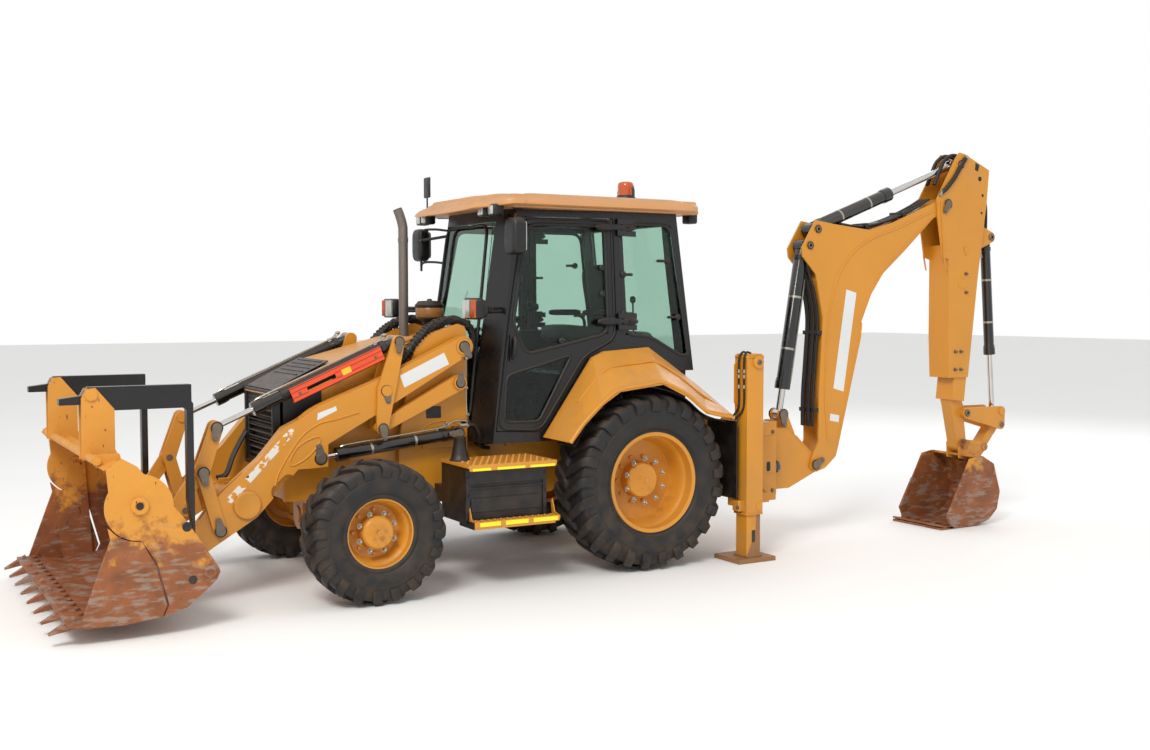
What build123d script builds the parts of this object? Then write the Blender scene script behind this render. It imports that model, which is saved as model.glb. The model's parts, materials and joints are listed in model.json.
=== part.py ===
"""Backhoe loader: front loader with a two-piece bucket and fold-over forks, cab, and a side-shifting backhoe.

Millimetres. +X forward, +Y the machine's left, +Z up, ground at Z = 0.
Every place below is written from the rear axle; save() moves it to the middle of the machine's length.
"""
import os
from math import cos, hypot, pi, sin

from build123d import *

os.makedirs("parts", exist_ok=True)

# ---------------------------------------------------------------- driving dimensions
ORIGIN_X = 51.5          # the part's origin, forward of the rear axle
RUN_GAP = 0.3            # faces that turn or slide on each other
PLATE_GAP = 3            # side clearance between linkage plates
BODY_GAP = 6             # doors, lids and other moving panels

WHEELBASE = 2210
FRONT_TRACK = 1890
REAR_TRACK = 1714
FRONT_RADIUS = 490       # over the lugs
REAR_RADIUS = 676
FRONT_TYRE_W = 318
REAR_TYRE_W = 430
FRONT_RIM_R = 240        # bead seat
REAR_RIM_R = 366
FRONT_RIM_W = 270
REAR_RIM_W = 390
KINGPIN_Y = 690
SPINDLE_R = 45
REAR_SHAFT_R = 55

LINK_Y = 480             # middle plane of the loader arms and their links, each side
ARM_T = 90               # loader arm
LINK_T = 25              # link plates beside the arms
LINK_OFFSET = ARM_T / 2 + PLATE_GAP + LINK_T / 2
PIN_R = 24
PIN_HEAD_T = 12
BORE_START = 100         # from a cylinder's base pin to the end of its bore
GLAND_OUT = 5            # a cylinder's gland, proud of its barrel
TOWER_Y = LINK_Y - ARM_T / 2 - PLATE_GAP - LINK_T - PLATE_GAP  # outer face of the loader tower
TOWER_T = 30

BUCKET_HALF_W = 1160
HOE_Y = 600              # side shift of the backhoe
BOOM_T = 200             # across the boom
STICK_T = 240            # across the stick's fixed section
HOE_PLATE = 16           # side plates of boom and stick
HOE_SIDE_GAP = 4         # each side, where one section runs inside another

# loader pins, (x, z)
ARM_PIVOT = (1334, 1711)
LEVER_PIVOT = (1952, 1408)
LEVER_TOP = (1855, 1756)
LOWER_FRAME = (1365, 1445)
LOWER_LEVER = (LEVER_PIVOT[0] + LOWER_FRAME[0] - ARM_PIVOT[0], LEVER_PIVOT[1] + LOWER_FRAME[1] - ARM_PIVOT[1])
LIFT_BASE = (1375, 1075)
LIFT_EYE = (2430, 952)
TILT_EYE = (3148, 1201)
FRONT_LEVER_PIN = (3248, 910)
FRONT_LINK_PIN = (3140, 512)
BUCKET_HINGE = (3350, 366)
BUCKET_LINK_PIN = (3440, 650)
JAW_PIN = (3778, 815)
FORK_PIN = (3972, 1462)

# backhoe pins, (x, z)
SWING_X = -1460
SWING_PIN_R = 40
BOOM_FOOT = (-1888, 655)
BOOM_ROD_EYE = (-1562, 1095)
BOOM_BARREL_PIN = (-1803, 2518)
STICK_BASE_PIN = (-1888, 2658)
STICK_PIVOT = (-3392, 2925)
STICK_ROD_EYE = (-3546, 3286)
HOE_CYL_PIN = (-4010, 2645)
GUIDE_PIN = (-3690, 1020)
HOE_ROD_EYE = (-4144, 1021)
HOE_LINK_PIN = (-4145, 894)
HOE_BUCKET_PIN = (-3690, 720)
HOE_BUCKET_LINK = (-3965, 690)
HOE_BUCKET_HALF = 300

CAB_BOTTOM = 1000
CAB_TOP = 2730
CAB_WALL = 50
GLASS_T = 8

STAB_X = -880
STAB_Y = 1070
STAB_TUBE = 160
STAB_WALL = 12


# ---------------------------------------------------------------- helpers
def save(piece, name):
    """Label a finished piece, move it to the machine's middle and write it."""
    moved = piece.part.moved(Location((-ORIGIN_X, 0, 0)))
    moved.label = name
    export_step(moved, f"parts/{name}.step")


def side_plane(y):
    """Drawing plane seen from the machine's right: sketch x is X, sketch y is Z."""
    return Plane(origin=(0, y, 0), x_dir=(1, 0, 0), z_dir=(0, -1, 0))


def plate(outline, y, thickness, mode=Mode.ADD):
    """Flat plate across Y from a closed outline of (x, z) points."""
    with BuildSketch(side_plane(y)) as profile:
        Polygon(*outline, align=None)
    extrude(profile.sketch, amount=thickness / 2, both=True, mode=mode)


def disc(centre, radius, y, thickness, mode=Mode.ADD):
    """Round boss, pin or hole along Y."""
    with BuildSketch(side_plane(y)) as profile:
        with Locations(centre):
            Circle(radius)
    extrude(profile.sketch, amount=thickness / 2, both=True, mode=mode)


def strap(rounds, y, thickness, mode=Mode.ADD):
    """Plate with round corners: the outline that wraps circles given as ((x, z), radius)."""
    with BuildSketch(side_plane(y)) as profile:
        for centre, radius in rounds:
            with Locations(centre):
                Circle(radius)
        make_hull()
    extrude(profile.sketch, amount=thickness / 2, both=True, mode=mode)


def rod_plane(start, end, y):
    """Plane square to the line between two (x, z) points, at the first of them."""
    return Plane(
        origin=(start[0], y, start[1]),
        x_dir=(0, 1, 0),
        z_dir=(end[0] - start[0], 0, end[1] - start[1]),
    )


def span(start, end):
    """Distance between two (x, z) points."""
    return hypot(end[0] - start[0], end[1] - start[1])


def tube(start, end, y, radius, first, last, mode=Mode.ADD):
    """Round bar along the line start-end, from the distance first to the distance last."""
    with BuildSketch(rod_plane(start, end, y).offset(first)) as profile:
        Circle(radius)
    extrude(profile.sketch, amount=last - first, mode=mode)


def bar(start, end, radius, mode=Mode.ADD):
    """Round bar between two (x, y, z) points."""
    run = Vector(*end) - Vector(*start)
    with BuildSketch(Plane(origin=start, z_dir=run)) as profile:
        Circle(radius)
    extrude(profile.sketch, amount=run.length, mode=mode)


def block(size, centre, mode=Mode.ADD):
    """Box of (x, y, z) size about its centre."""
    with Locations(centre):
        Box(*size, mode=mode)


def headed_pin(centre, y, length, flank):
    """Pin along Y with a round head on its outer end."""
    disc(centre, PIN_R, y, length)
    disc(centre, PIN_R + 14, y + flank * (length + PIN_HEAD_T) / 2, PIN_HEAD_T)


def barrel(base, eye, y, radius, length, eye_r, eye_w, rod_r):
    """Hydraulic cylinder barrel: base eye, tube and gland, bored for its rod."""
    tube(base, eye, y, radius, eye_r * 0.7, length)
    tube(base, eye, y, radius + GLAND_OUT, length - 90, length)
    disc(base, eye_r, y, eye_w)
    disc(base, PIN_R + RUN_GAP, y, eye_w, mode=Mode.SUBTRACT)
    tube(base, eye, y, rod_r + RUN_GAP, BORE_START, length + 1, mode=Mode.SUBTRACT)


def rod(base, eye, y, radius, start, eye_r, eye_w):
    """Piston rod with its eye, from the distance start from the barrel's pin."""
    tube(base, eye, y, radius, start, span(base, eye) - eye_r * 0.6)
    disc(eye, eye_r, y, eye_w)
    disc(eye, PIN_R + RUN_GAP, y, eye_w, mode=Mode.SUBTRACT)


# ---------------------------------------------------------------- wheels
def wheel_section(x, side, track, z):
    """Sketch plane through a wheel's axle: sketch x is the radius, sketch y points outward."""
    return Plane(origin=(x, side * track / 2, z), x_dir=(1, 0, 0), z_dir=(0, 0, side))


def tyre(name, x, side, track, radius, width, rim_r, bead, lugs, lug_h):
    """Tyre with bars that run from the middle of the tread over the shoulder, left and right staggered."""
    centre = (x, side * track / 2, radius)
    carcass = radius - lug_h
    half = width / 2
    with BuildPart() as piece:
        with BuildSketch(wheel_section(x, side, track, radius)):
            with BuildLine():
                Polyline(
                    (rim_r + RUN_GAP, -bead),
                    (rim_r + 22, -bead),
                    (rim_r + 30, -half * 0.86),
                    (rim_r + (carcass - rim_r) * 0.45, -half * 0.97),
                    (carcass - 60, -half * 0.93),
                    (carcass - 8, -half * 0.72),
                    (carcass, 0),
                    (carcass - 8, half * 0.72),
                    (carcass - 60, half * 0.93),
                    (rim_r + (carcass - rim_r) * 0.45, half * 0.97),
                    (rim_r + 30, half * 0.86),
                    (rim_r + 22, bead),
                    (rim_r + RUN_GAP, bead),
                    close=True,
                )
            make_face()
        revolve(axis=Axis(centre, (0, 1, 0)))
        pitch = 2 * pi * radius / lugs
        top = (radius**2 - (0.42 * pitch) ** 2) ** 0.5
        for flank in (1, -1):
            planes = []
            for step in range(lugs):
                turn = 2 * pi * (step + 0.25 * flank) / lugs
                out = (cos(turn), 0, sin(turn))
                foot = top - lug_h - 24
                origin = (x + foot * out[0], side * track / 2, radius + foot * out[2])
                planes.append(Plane(origin=origin, x_dir=(0, flank, 0), z_dir=out))
            slant = -flank * side
            with BuildSketch(*planes):
                Polygon(
                    (-half * 0.06, -slant * pitch * 0.42),
                    (half * 0.62, slant * pitch * 0.02),
                    (half, slant * pitch * 0.02),
                    (half, slant * pitch * 0.38),
                    (half * 0.56, slant * pitch * 0.38),
                    (-half * 0.06, -slant * pitch * 0.10),
                    align=None,
                )
            extrude(amount=lug_h + 24)
    save(piece, name)


def rim(name, x, side, track, radius, rim_r, width, hub_r, hub_out, disc_in, shaft_r, nuts, nut_pcd):
    """Deep-dished wheel: flanged barrel, disc and hub with its cover, bored for the axle's end."""
    centre = (x, side * track / 2, radius)
    half = width / 2
    with BuildPart() as piece:
        with BuildSketch(wheel_section(x, side, track, radius)):
            with BuildLine():
                Polyline(
                    (shaft_r + RUN_GAP, disc_in - 70),
                    (hub_r - 12, disc_in - 70),
                    (hub_r + 20, disc_in - 14),
                    (rim_r - 60, disc_in - 14),
                    (rim_r - 46, disc_in - 40),
                    (rim_r - 34, -half * 0.40),
                    (rim_r - 14, -half * 0.55),
                    (rim_r - 14, -half + 8),
                    (rim_r + 14, -half),
                    (rim_r + 18, -half + 10),
                    (rim_r - 1, -half + 16),
                    (rim_r - 4, -half * 0.5),
                    (rim_r - 20, -half * 0.30),
                    (rim_r - 20, half * 0.30),
                    (rim_r - 4, half * 0.5),
                    (rim_r - 1, half - 16),
                    (rim_r + 18, half - 10),
                    (rim_r + 14, half),
                    (rim_r - 14, half - 8),
                    (rim_r - 14, half * 0.55),
                    (rim_r - 34, half * 0.40),
                    (rim_r - 46, disc_in + 30),
                    (rim_r - 60, disc_in),
                    (hub_r, disc_in),
                    (hub_r, hub_out - 14),
                    (hub_r - 14, hub_out),
                    (0, hub_out),
                    (0, hub_out - 60),
                    (shaft_r + RUN_GAP, hub_out - 60),
                    close=True,
                )
            make_face()
        revolve(axis=Axis(centre, (0, 1, 0)))
        face = Plane(origin=(x, side * (track / 2 + disc_in - 1), radius), x_dir=(1, 0, 0), z_dir=(0, side, 0))
        with BuildSketch(face):
            with PolarLocations(nut_pcd / 2, nuts):
                RegularPolygon(14, 6)
        extrude(amount=24)
    save(piece, name)


for side_name, side in (("left", 1), ("right", -1)):
    tyre(f"front_tyre_{side_name}", WHEELBASE, side, FRONT_TRACK, FRONT_RADIUS, FRONT_TYRE_W, FRONT_RIM_R,
         FRONT_RIM_W / 2 - 18, 17, 30)
    rim(f"front_rim_{side_name}", WHEELBASE, side, FRONT_TRACK, FRONT_RADIUS, FRONT_RIM_R, FRONT_RIM_W, 112, 100, -10,
        SPINDLE_R, 8, 300)
    tyre(f"rear_tyre_{side_name}", 0, side, REAR_TRACK, REAR_RADIUS, REAR_TYRE_W, REAR_RIM_R,
         REAR_RIM_W / 2 - 18, 18, 36)
    rim(f"rear_rim_{side_name}", 0, side, REAR_TRACK, REAR_RADIUS, REAR_RIM_R, REAR_RIM_W, 138, 40, -60,
        REAR_SHAFT_R, 10, 360)

# ---------------------------------------------------------------- axles and knuckles
RAIL_Y = 340             # middle of the frame's side plates
RAIL_T = 30
AXLE_ARCH_TOP = 830      # underside of the frame over the rear axle
FRONT_SHAFT_END = FRONT_TRACK / 2 + 100 - 60 - 20   # inside the hub, short of its cover
REAR_SHAFT_END = REAR_TRACK / 2 + 40 - 60 - 20

with BuildPart() as axles:
    # front: beam with a central bowl on its pivot, ends forked for the kingpins
    with BuildSketch(Plane.XZ.offset(-(KINGPIN_Y - 90))):
        with Locations((WHEELBASE, FRONT_RADIUS)):
            RectangleRounded(150, 130, 20)
    extrude(amount=2 * (KINGPIN_Y - 90))
    with Locations((WHEELBASE, 0, FRONT_RADIUS)):
        Sphere(165)
    with Locations((WHEELBASE, 0, FRONT_RADIUS)):
        with Locations(Rotation(0, 90, 0)):
            Cylinder(60, 460)
    for yoke_side in (1, -1):
        block((110, 30, 300), (WHEELBASE, yoke_side * (KINGPIN_Y - 90), FRONT_RADIUS))
        for level in (FRONT_RADIUS - 130, FRONT_RADIUS + 130):
            block((130, 140, 40), (WHEELBASE, yoke_side * (KINGPIN_Y - 35), level))
            with Locations((WHEELBASE, yoke_side * KINGPIN_Y, level)):
                Cylinder(70, 40)
                Cylinder(PIN_R + RUN_GAP, 40, mode=Mode.SUBTRACT)
    # rear: tubes from a central housing
    with BuildSketch(Plane.XZ.offset(-(REAR_SHAFT_END))):
        with Locations((0, REAR_RADIUS)):
            Circle(REAR_SHAFT_R)
    extrude(amount=2 * REAR_SHAFT_END)
    with BuildSketch(Plane.XZ.offset(-(REAR_TRACK / 2 - 60 - 85))):
        with Locations((0, REAR_RADIUS)):
            Circle(105)
    extrude(amount=2 * (REAR_TRACK / 2 - 60 - 85))
    with Locations((0, 0, REAR_RADIUS)):
        Sphere(215)
    # saddles under the frame's side plates
    for flank in (1, -1):
        block((220, 70, AXLE_ARCH_TOP - RUN_GAP - REAR_RADIUS),
              (0, flank * RAIL_Y, (AXLE_ARCH_TOP - RUN_GAP + REAR_RADIUS) / 2))
save(axles, "axles")

for side_name, side in (("left", 1), ("right", -1)):
    with BuildPart() as knuckle:
        with Locations((WHEELBASE, side * KINGPIN_Y, FRONT_RADIUS)):
            Cylinder(62, 2 * (130 - 20) - 2 * PLATE_GAP)
            Cylinder(PIN_R, 2 * (130 + 20))
        with BuildSketch(Plane.XZ.offset(-side * KINGPIN_Y)):
            with Locations((WHEELBASE, FRONT_RADIUS)):
                Circle(SPINDLE_R)
        extrude(amount=-side * (FRONT_SHAFT_END - KINGPIN_Y))
        with BuildSketch(Plane.XZ.offset(-side * KINGPIN_Y)):
            with Locations((WHEELBASE, FRONT_RADIUS)):
                Circle(95)
        extrude(amount=-side * (FRONT_TRACK / 2 - 10 - 70 - 14 - KINGPIN_Y))
        plate([(WHEELBASE - 190, FRONT_RADIUS - 60), (WHEELBASE - 190, FRONT_RADIUS - 30),
               (WHEELBASE, FRONT_RADIUS - 20), (WHEELBASE, FRONT_RADIUS - 70)], side * (KINGPIN_Y + 10), 28)
    save(knuckle, f"steering_knuckle_{side_name}")

# ---------------------------------------------------------------- main frame and loader tower
NOSE_X = 2700            # front face of the grille
FRAME_BOTTOM = 560
TOWER_SPACER = TOWER_Y - TOWER_T - RAIL_Y - RAIL_T / 2
ENGINE_SIZE = (850, 500, 480)
ENGINE_CENTRE = (1925, 0, 1200)
ENGINE_BOTTOM = ENGINE_CENTRE[2] - ENGINE_SIZE[2] / 2
FRAME_REAR_X = -1080
RAIL_LEVELS = (1010, 470)  # middles of the two cross rails that the backhoe slides along
CROSS_RAIL = (90, 80)      # depth and height of a cross rail
RAIL_FACE_X = FRAME_REAR_X - 75
STAB_PLATE_X = -775        # front edge of the plates that carry the stabilisers

with BuildPart() as chassis:
    for flank in (1, -1):
        # side plate from the axle mount back to the backhoe frame
        plate([(2640, 640), (2640, 900), (2300, 1000), (1250, 960), (-1080, 960),
               (-1080, 380), (-700, 420), (-260, AXLE_ARCH_TOP), (260, AXLE_ARCH_TOP), (500, FRAME_BOTTOM), (1900, FRAME_BOTTOM),
               (2050, 640)], flank * RAIL_Y, RAIL_T)
        # loader tower: an outer plate with its front edge swept to the hood, and the pins it carries
        tower = flank * (TOWER_Y - TOWER_T / 2)
        plate([(1250, FRAME_BOTTOM), (1250, 1700), (1262, 1850), (1300, 1887), (1643, 1788), (1700, 1600),
               (1760, 1250), (1800, 1000), (1800, FRAME_BOTTOM)], tower, TOWER_T)
        plate([(1250, 700), (1250, 960), (1800, 960), (1800, 700)],
              flank * (RAIL_Y + RAIL_T / 2 + TOWER_SPACER / 2), TOWER_SPACER)
        for pin, boss in ((ARM_PIVOT, 60), (LOWER_FRAME, 50), (LIFT_BASE, 33)):
            out = LINK_Y + ARM_T / 2
            disc(pin, PIN_R, flank * (TOWER_Y - TOWER_T + out + RUN_GAP) / 2, out + RUN_GAP - TOWER_Y + TOWER_T)
            disc(pin, boss, flank * (out + RUN_GAP + PIN_HEAD_T / 2), PIN_HEAD_T)
    # cross members
    for x, z, depth, height in ((2600, 770, 60, 240), (1900, 700, 60, 240), (900, 690, 60, 220), (-740, 640, 60, 400)):
        block((depth, 2 * RAIL_Y, height), (x, 0, z))
    # axle pivot brackets
    for x in (WHEELBASE - 205, WHEELBASE + 205):
        with BuildSketch(Plane.YZ.offset(x)):
            with Locations((0, FRONT_RADIUS + 160)):
                Rectangle(2 * RAIL_Y, 120)
            with Locations((0, FRONT_RADIUS)):
                Circle(110)
            with Locations((0, FRONT_RADIUS + 60)):
                Rectangle(220, 120)
            with Locations((0, FRONT_RADIUS)):
                Circle(60 + RUN_GAP, mode=Mode.SUBTRACT)
        extrude(amount=15, both=True)
    # engine and cab mounts
    for flank in (1, -1):
        inner = RAIL_Y - RAIL_T / 2
        for x in (1620, 2200):
            block((90, 120, 60), (x, flank * (inner - 60), ENGINE_BOTTOM - RUN_GAP - 30))
        for x, low in ((880, 940), (-500, 940)):
            with Locations((x, flank * RAIL_Y, (low + CAB_BOTTOM - RUN_GAP) / 2)):
                Cylinder(45, CAB_BOTTOM - RUN_GAP - low)
    # rear frame: two rails that the backhoe slides along, and plates that carry the stabilisers
    for z in RAIL_LEVELS:
        block((CROSS_RAIL[0], 2 * (STAB_Y - STAB_TUBE / 2), CROSS_RAIL[1]), (RAIL_FACE_X + CROSS_RAIL[0] / 2, 0, z))
    for flank in (1, -1):
        plate([(FRAME_REAR_X, 430), (FRAME_REAR_X, 1050), (STAB_PLATE_X, 1050), (STAB_PLATE_X, 430)],
              flank * (STAB_Y - STAB_TUBE / 2 - 25), 50)
        block((10, 260, 400), (STAB_PLATE_X + 5, flank * 820, 800))
    block((30, 1880, 560), (FRAME_REAR_X, 0, 740))
save(chassis, "chassis_frame")

with BuildPart() as engine:
    block(ENGINE_SIZE, ENGINE_CENTRE)
    fillet(engine.edges().filter_by(Axis.X), 40)
save(engine, "engine_block")

with BuildPart() as exhaust:
    with BuildSketch(Plane.XY.offset(1776.6)):
        with Locations((1500, -210)):
            Circle(38)
    extrude(amount=833)
    with BuildSketch(Plane(origin=(1500, -210, 2600), x_dir=(0, 1, 0), z_dir=(0.35, 0, 1))):
        Circle(38)
    extrude(amount=100)
save(exhaust, "exhaust_stack")

with BuildPart() as intake:
    with BuildSketch(Plane.XZ.offset(-60)):
        Polygon((1400, 1789.2), (1440, 1789.2), (1440, 1900), (1485, 1915), (1485, 2010), (1460, 2025), (1400, 2035),
                align=None)
    revolve(axis=Axis((1400, 60, 0), (0, 0, 1)))
save(intake, "air_precleaner")

# ---------------------------------------------------------------- hood
HOOD_HALF = 335
HOOD_T = 12
LID_HINGE = (1625, 1776)
HINGE_EAR_Y = 240        # the lid's ears, either side of the middle
HINGE_PIN_R = 6
HINGE_EAR_R = 13
HOOD_SIDE_TOP = [(1270, 1800), (1625, 1755), (2280, 1580), (2640, 1395)]

with BuildPart() as hood_body:
    for flank in (1, -1):
        plate([(1270, 1000), *HOOD_SIDE_TOP, (2640, 1000)], flank * (HOOD_HALF - HOOD_T / 2), HOOD_T)
    # fixed cowl in front of the windscreen
    plate([(1270, 1788), (1270, 1800), (1616, 1757), (1616, 1745)], 0, 2 * HOOD_HALF)
    # front panel with its louvre opening
    block((60, 2 * HOOD_HALF + 20, 515), (NOSE_X - 30, 0, 1122.5))
    block((80, 2 * HOOD_HALF - 100, 400), (NOSE_X - 30, 0, 1110), mode=Mode.SUBTRACT)
    for row in range(7):
        with BuildSketch(side_plane(0)) as slat:
            with Locations((NOSE_X - 28, 940 + row * 57)):
                Rectangle(52, 8, rotation=-32)
        extrude(slat.sketch, amount=HOOD_HALF - 45, both=True)
    # hinge pins between ears on the cowl
    for flank in (1, -1):
        for offset_y in (-22, 22):
            strap([(LID_HINGE, HINGE_EAR_R), ((1602, 1754), 8)], flank * HINGE_EAR_Y + offset_y, 8)
        disc(LID_HINGE, HINGE_PIN_R, flank * HINGE_EAR_Y, 52)
save(hood_body, "hood_body")

with BuildPart() as hood_lid:
    with BuildSketch(side_plane(0)):
        Polygon((1632, 1766), (1632, 1782), (2280, 1612), (2560, 1480), (2690, 1412), (2718, 1396), (2712, 1386),
                (2655, 1400), (2640, 1402), (2285, 1586), align=None)
    extrude(amount=HOOD_HALF, both=True)
    for flank in (1, -1):
        for offset_y in (-22, 22):
            strap([(LID_HINGE, HINGE_EAR_R + 5), ((1640, 1790), HINGE_EAR_R + 5)], flank * HINGE_EAR_Y + offset_y, 12,
                  mode=Mode.SUBTRACT)
        strap([(LID_HINGE, HINGE_EAR_R), ((1660, 1768), 7)], flank * HINGE_EAR_Y, 30)
        disc(LID_HINGE, HINGE_PIN_R + RUN_GAP, flank * HINGE_EAR_Y, 40, mode=Mode.SUBTRACT)
save(hood_lid, "hood_lid")

# ---------------------------------------------------------------- loader arms and links
ARM_OUTLINE = [
    (1352, 1616), (1865, 1325), (2022, 1238), (2376, 1049), (2378, 892), (2495, 886), (2592, 886), (2882, 580),
    (3030, 491), (3219, 375), (3330, 305), (3408, 345), (3402, 410), (3159, 726), (2865, 974), (2690, 1178),
    (2578, 1231), (2443, 1317), (2028, 1477), (1846, 1557), (1380, 1768),
]
TORQUE_TUBE = (2954, 670)
LIFT_EYE_W = 48

with BuildPart() as arms:
    for flank in (1, -1):
        y = flank * LINK_Y
        plate(ARM_OUTLINE, y, ARM_T)
        disc(ARM_PIVOT, 76, y, ARM_T)
        disc(TORQUE_TUBE, 85, y, ARM_T + 16)
        disc(BUCKET_HINGE, 62, y, ARM_T)
        disc(ARM_PIVOT, PIN_R + RUN_GAP, y, ARM_T, mode=Mode.SUBTRACT)
        disc(BUCKET_HINGE, PIN_R + RUN_GAP, y, ARM_T, mode=Mode.SUBTRACT)
        # slot for the lift rod's eye
        strap([(LIFT_EYE, 80), ((LIFT_EYE[0] - 200, LIFT_EYE[1] - 20), 66), ((LIFT_EYE[0] - 60, LIFT_EYE[1] - 120), 66)],
              y, LIFT_EYE_W + 2 * PLATE_GAP, mode=Mode.SUBTRACT)
        # relief in the outer lower edge, clear of the tyre at full lock with the arms down
        strap([((2662, 800), 56), ((2728, 742), 56)], flank * (LINK_Y + ARM_T / 2), 84, mode=Mode.SUBTRACT)
        # slot that the front lever's tongue dips into when the bucket is rolled back
        strap([((3040, 905), 76), ((3230, 640), 58)], y, 36 + 2 * PLATE_GAP, mode=Mode.SUBTRACT)
        # bores for the link pins
        disc(FRONT_LINK_PIN, PIN_R + RUN_GAP, y, ARM_T, mode=Mode.SUBTRACT)
        # pin that carries the rear lever
        headed_pin(LEVER_PIVOT, y, ARM_T + 2 * (PLATE_GAP + LINK_T + RUN_GAP), flank)
    disc(TORQUE_TUBE, 70, 0, 2 * LINK_Y)
save(arms, "loader_arms")

with BuildPart() as rear_levers:
    for flank in (1, -1):
        for offset_y in (-LINK_OFFSET, LINK_OFFSET):
            y = flank * LINK_Y + offset_y
            strap([(LEVER_TOP, 46), (LEVER_PIVOT, 66), (LOWER_LEVER, 44)], y, LINK_T)
            disc(LEVER_PIVOT, PIN_R + RUN_GAP, y, LINK_T, mode=Mode.SUBTRACT)
        for pin in (LEVER_TOP, LOWER_LEVER):
            headed_pin(pin, flank * LINK_Y, ARM_T + 2 * (PLATE_GAP + LINK_T), flank)
save(rear_levers, "rear_levers")

with BuildPart() as lower_links:
    for flank in (1, -1):
        strap([(LOWER_FRAME, 60), (LOWER_LEVER, 42)], flank * LINK_Y, ARM_T - 20)
        for pin in (LOWER_FRAME, LOWER_LEVER):
            disc(pin, PIN_R + RUN_GAP, flank * LINK_Y, ARM_T, mode=Mode.SUBTRACT)
save(lower_links, "lower_links")

LIFT_R = 44
LIFT_ROD_R = 21
LIFT_BARREL = 940

with BuildPart() as lift_barrels:
    for flank in (1, -1):
        barrel(LIFT_BASE, LIFT_EYE, flank * LINK_Y, LIFT_R, LIFT_BARREL, 50, ARM_T - 14, LIFT_ROD_R)
save(lift_barrels, "lift_barrels")

with BuildPart() as lift_rods:
    for flank in (1, -1):
        rod(LIFT_BASE, LIFT_EYE, flank * LINK_Y, LIFT_ROD_R, 200, 46, LIFT_EYE_W)
save(lift_rods, "lift_rods")

TILT_R = 42
TILT_ROD_R = 20
TILT_BARREL = 1130

with BuildPart() as tilt_barrels:
    for flank in (1, -1):
        barrel(LEVER_TOP, TILT_EYE, flank * LINK_Y, TILT_R, TILT_BARREL, 44, ARM_T - 6, TILT_ROD_R)
save(tilt_barrels, "tilt_barrels")

FRONT_LEVER_T = 20
TONGUE_T = 36            # the front lever's lower end, which dips into the arm's slot
with BuildPart() as tilt_rods:
    for flank in (1, -1):
        rod(LEVER_TOP, TILT_EYE, flank * LINK_Y, TILT_ROD_R, 400, 40, ARM_T - 2 * FRONT_LEVER_T - 6)
save(tilt_rods, "tilt_rods")

with BuildPart() as front_links:
    for flank in (1, -1):
        for offset_y in (-LINK_OFFSET, LINK_OFFSET):
            y = flank * LINK_Y + offset_y
            strap([(FRONT_LEVER_PIN, 44), (FRONT_LINK_PIN, 44)], y, LINK_T)
            for pin in (FRONT_LEVER_PIN, FRONT_LINK_PIN):
                disc(pin, PIN_R + RUN_GAP, y, LINK_T, mode=Mode.SUBTRACT)
save(front_links, "front_links")

with BuildPart() as front_levers:
    for flank in (1, -1):
        for offset_y in (-1, 1):
            y = flank * LINK_Y + offset_y * (ARM_T - FRONT_LEVER_T) / 2
            strap([(TILT_EYE, 46), (FRONT_LEVER_PIN, 52)], y, FRONT_LEVER_T)
        disc(FRONT_LEVER_PIN, 52, flank * LINK_Y, ARM_T)
        strap([(FRONT_LEVER_PIN, 52), (BUCKET_LINK_PIN, 36)], flank * LINK_Y, TONGUE_T)
        for offset_y in (-1, 1):
            disc(TILT_EYE, PIN_R + 14, flank * LINK_Y + offset_y * (ARM_T + PIN_HEAD_T) / 2, PIN_HEAD_T)
        disc(FRONT_LEVER_PIN, PIN_R + RUN_GAP, flank * LINK_Y, ARM_T, mode=Mode.SUBTRACT)
        disc(BUCKET_LINK_PIN, PIN_R + RUN_GAP, flank * LINK_Y, ARM_T, mode=Mode.SUBTRACT)
save(front_levers, "front_levers")

PIN_SPAN = ARM_T + 2 * (PLATE_GAP + LINK_T + RUN_GAP)
for name, centre in (("bucket_pins", BUCKET_HINGE), ("front_link_pins", FRONT_LINK_PIN),
                     ("front_lever_pins", FRONT_LEVER_PIN)):
    with BuildPart() as pins:
        for flank in (1, -1):
            headed_pin(centre, flank * LINK_Y, PIN_SPAN, flank)
    save(pins, name)

# ---------------------------------------------------------------- loader bucket, jaw and forks
BUCKET_SIDE_T = 25
BUCKET_SHELL_T = 14
JAW_ARM_T = 25
BACK_OUTLINE = [(3655, 128), (3540, 165), (3455, 260), (3434, 380), (3454, 520), (3524, 680), (3640, 850),
                (3780, 1010), (3890, 1085), (3985, 1050)]
BACK_INNER = [(3975, 1036), (3888, 1069), (3790, 997), (3652, 842), (3537, 672), (3468, 516), (3449, 382),
              (3468, 268), (3547, 179), (3655, 144)]
FORK_Y = 690
SPLIT_R = 216            # the jaw's side plates end on this radius about their pin
SHAFT = (3995, 1085)

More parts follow.
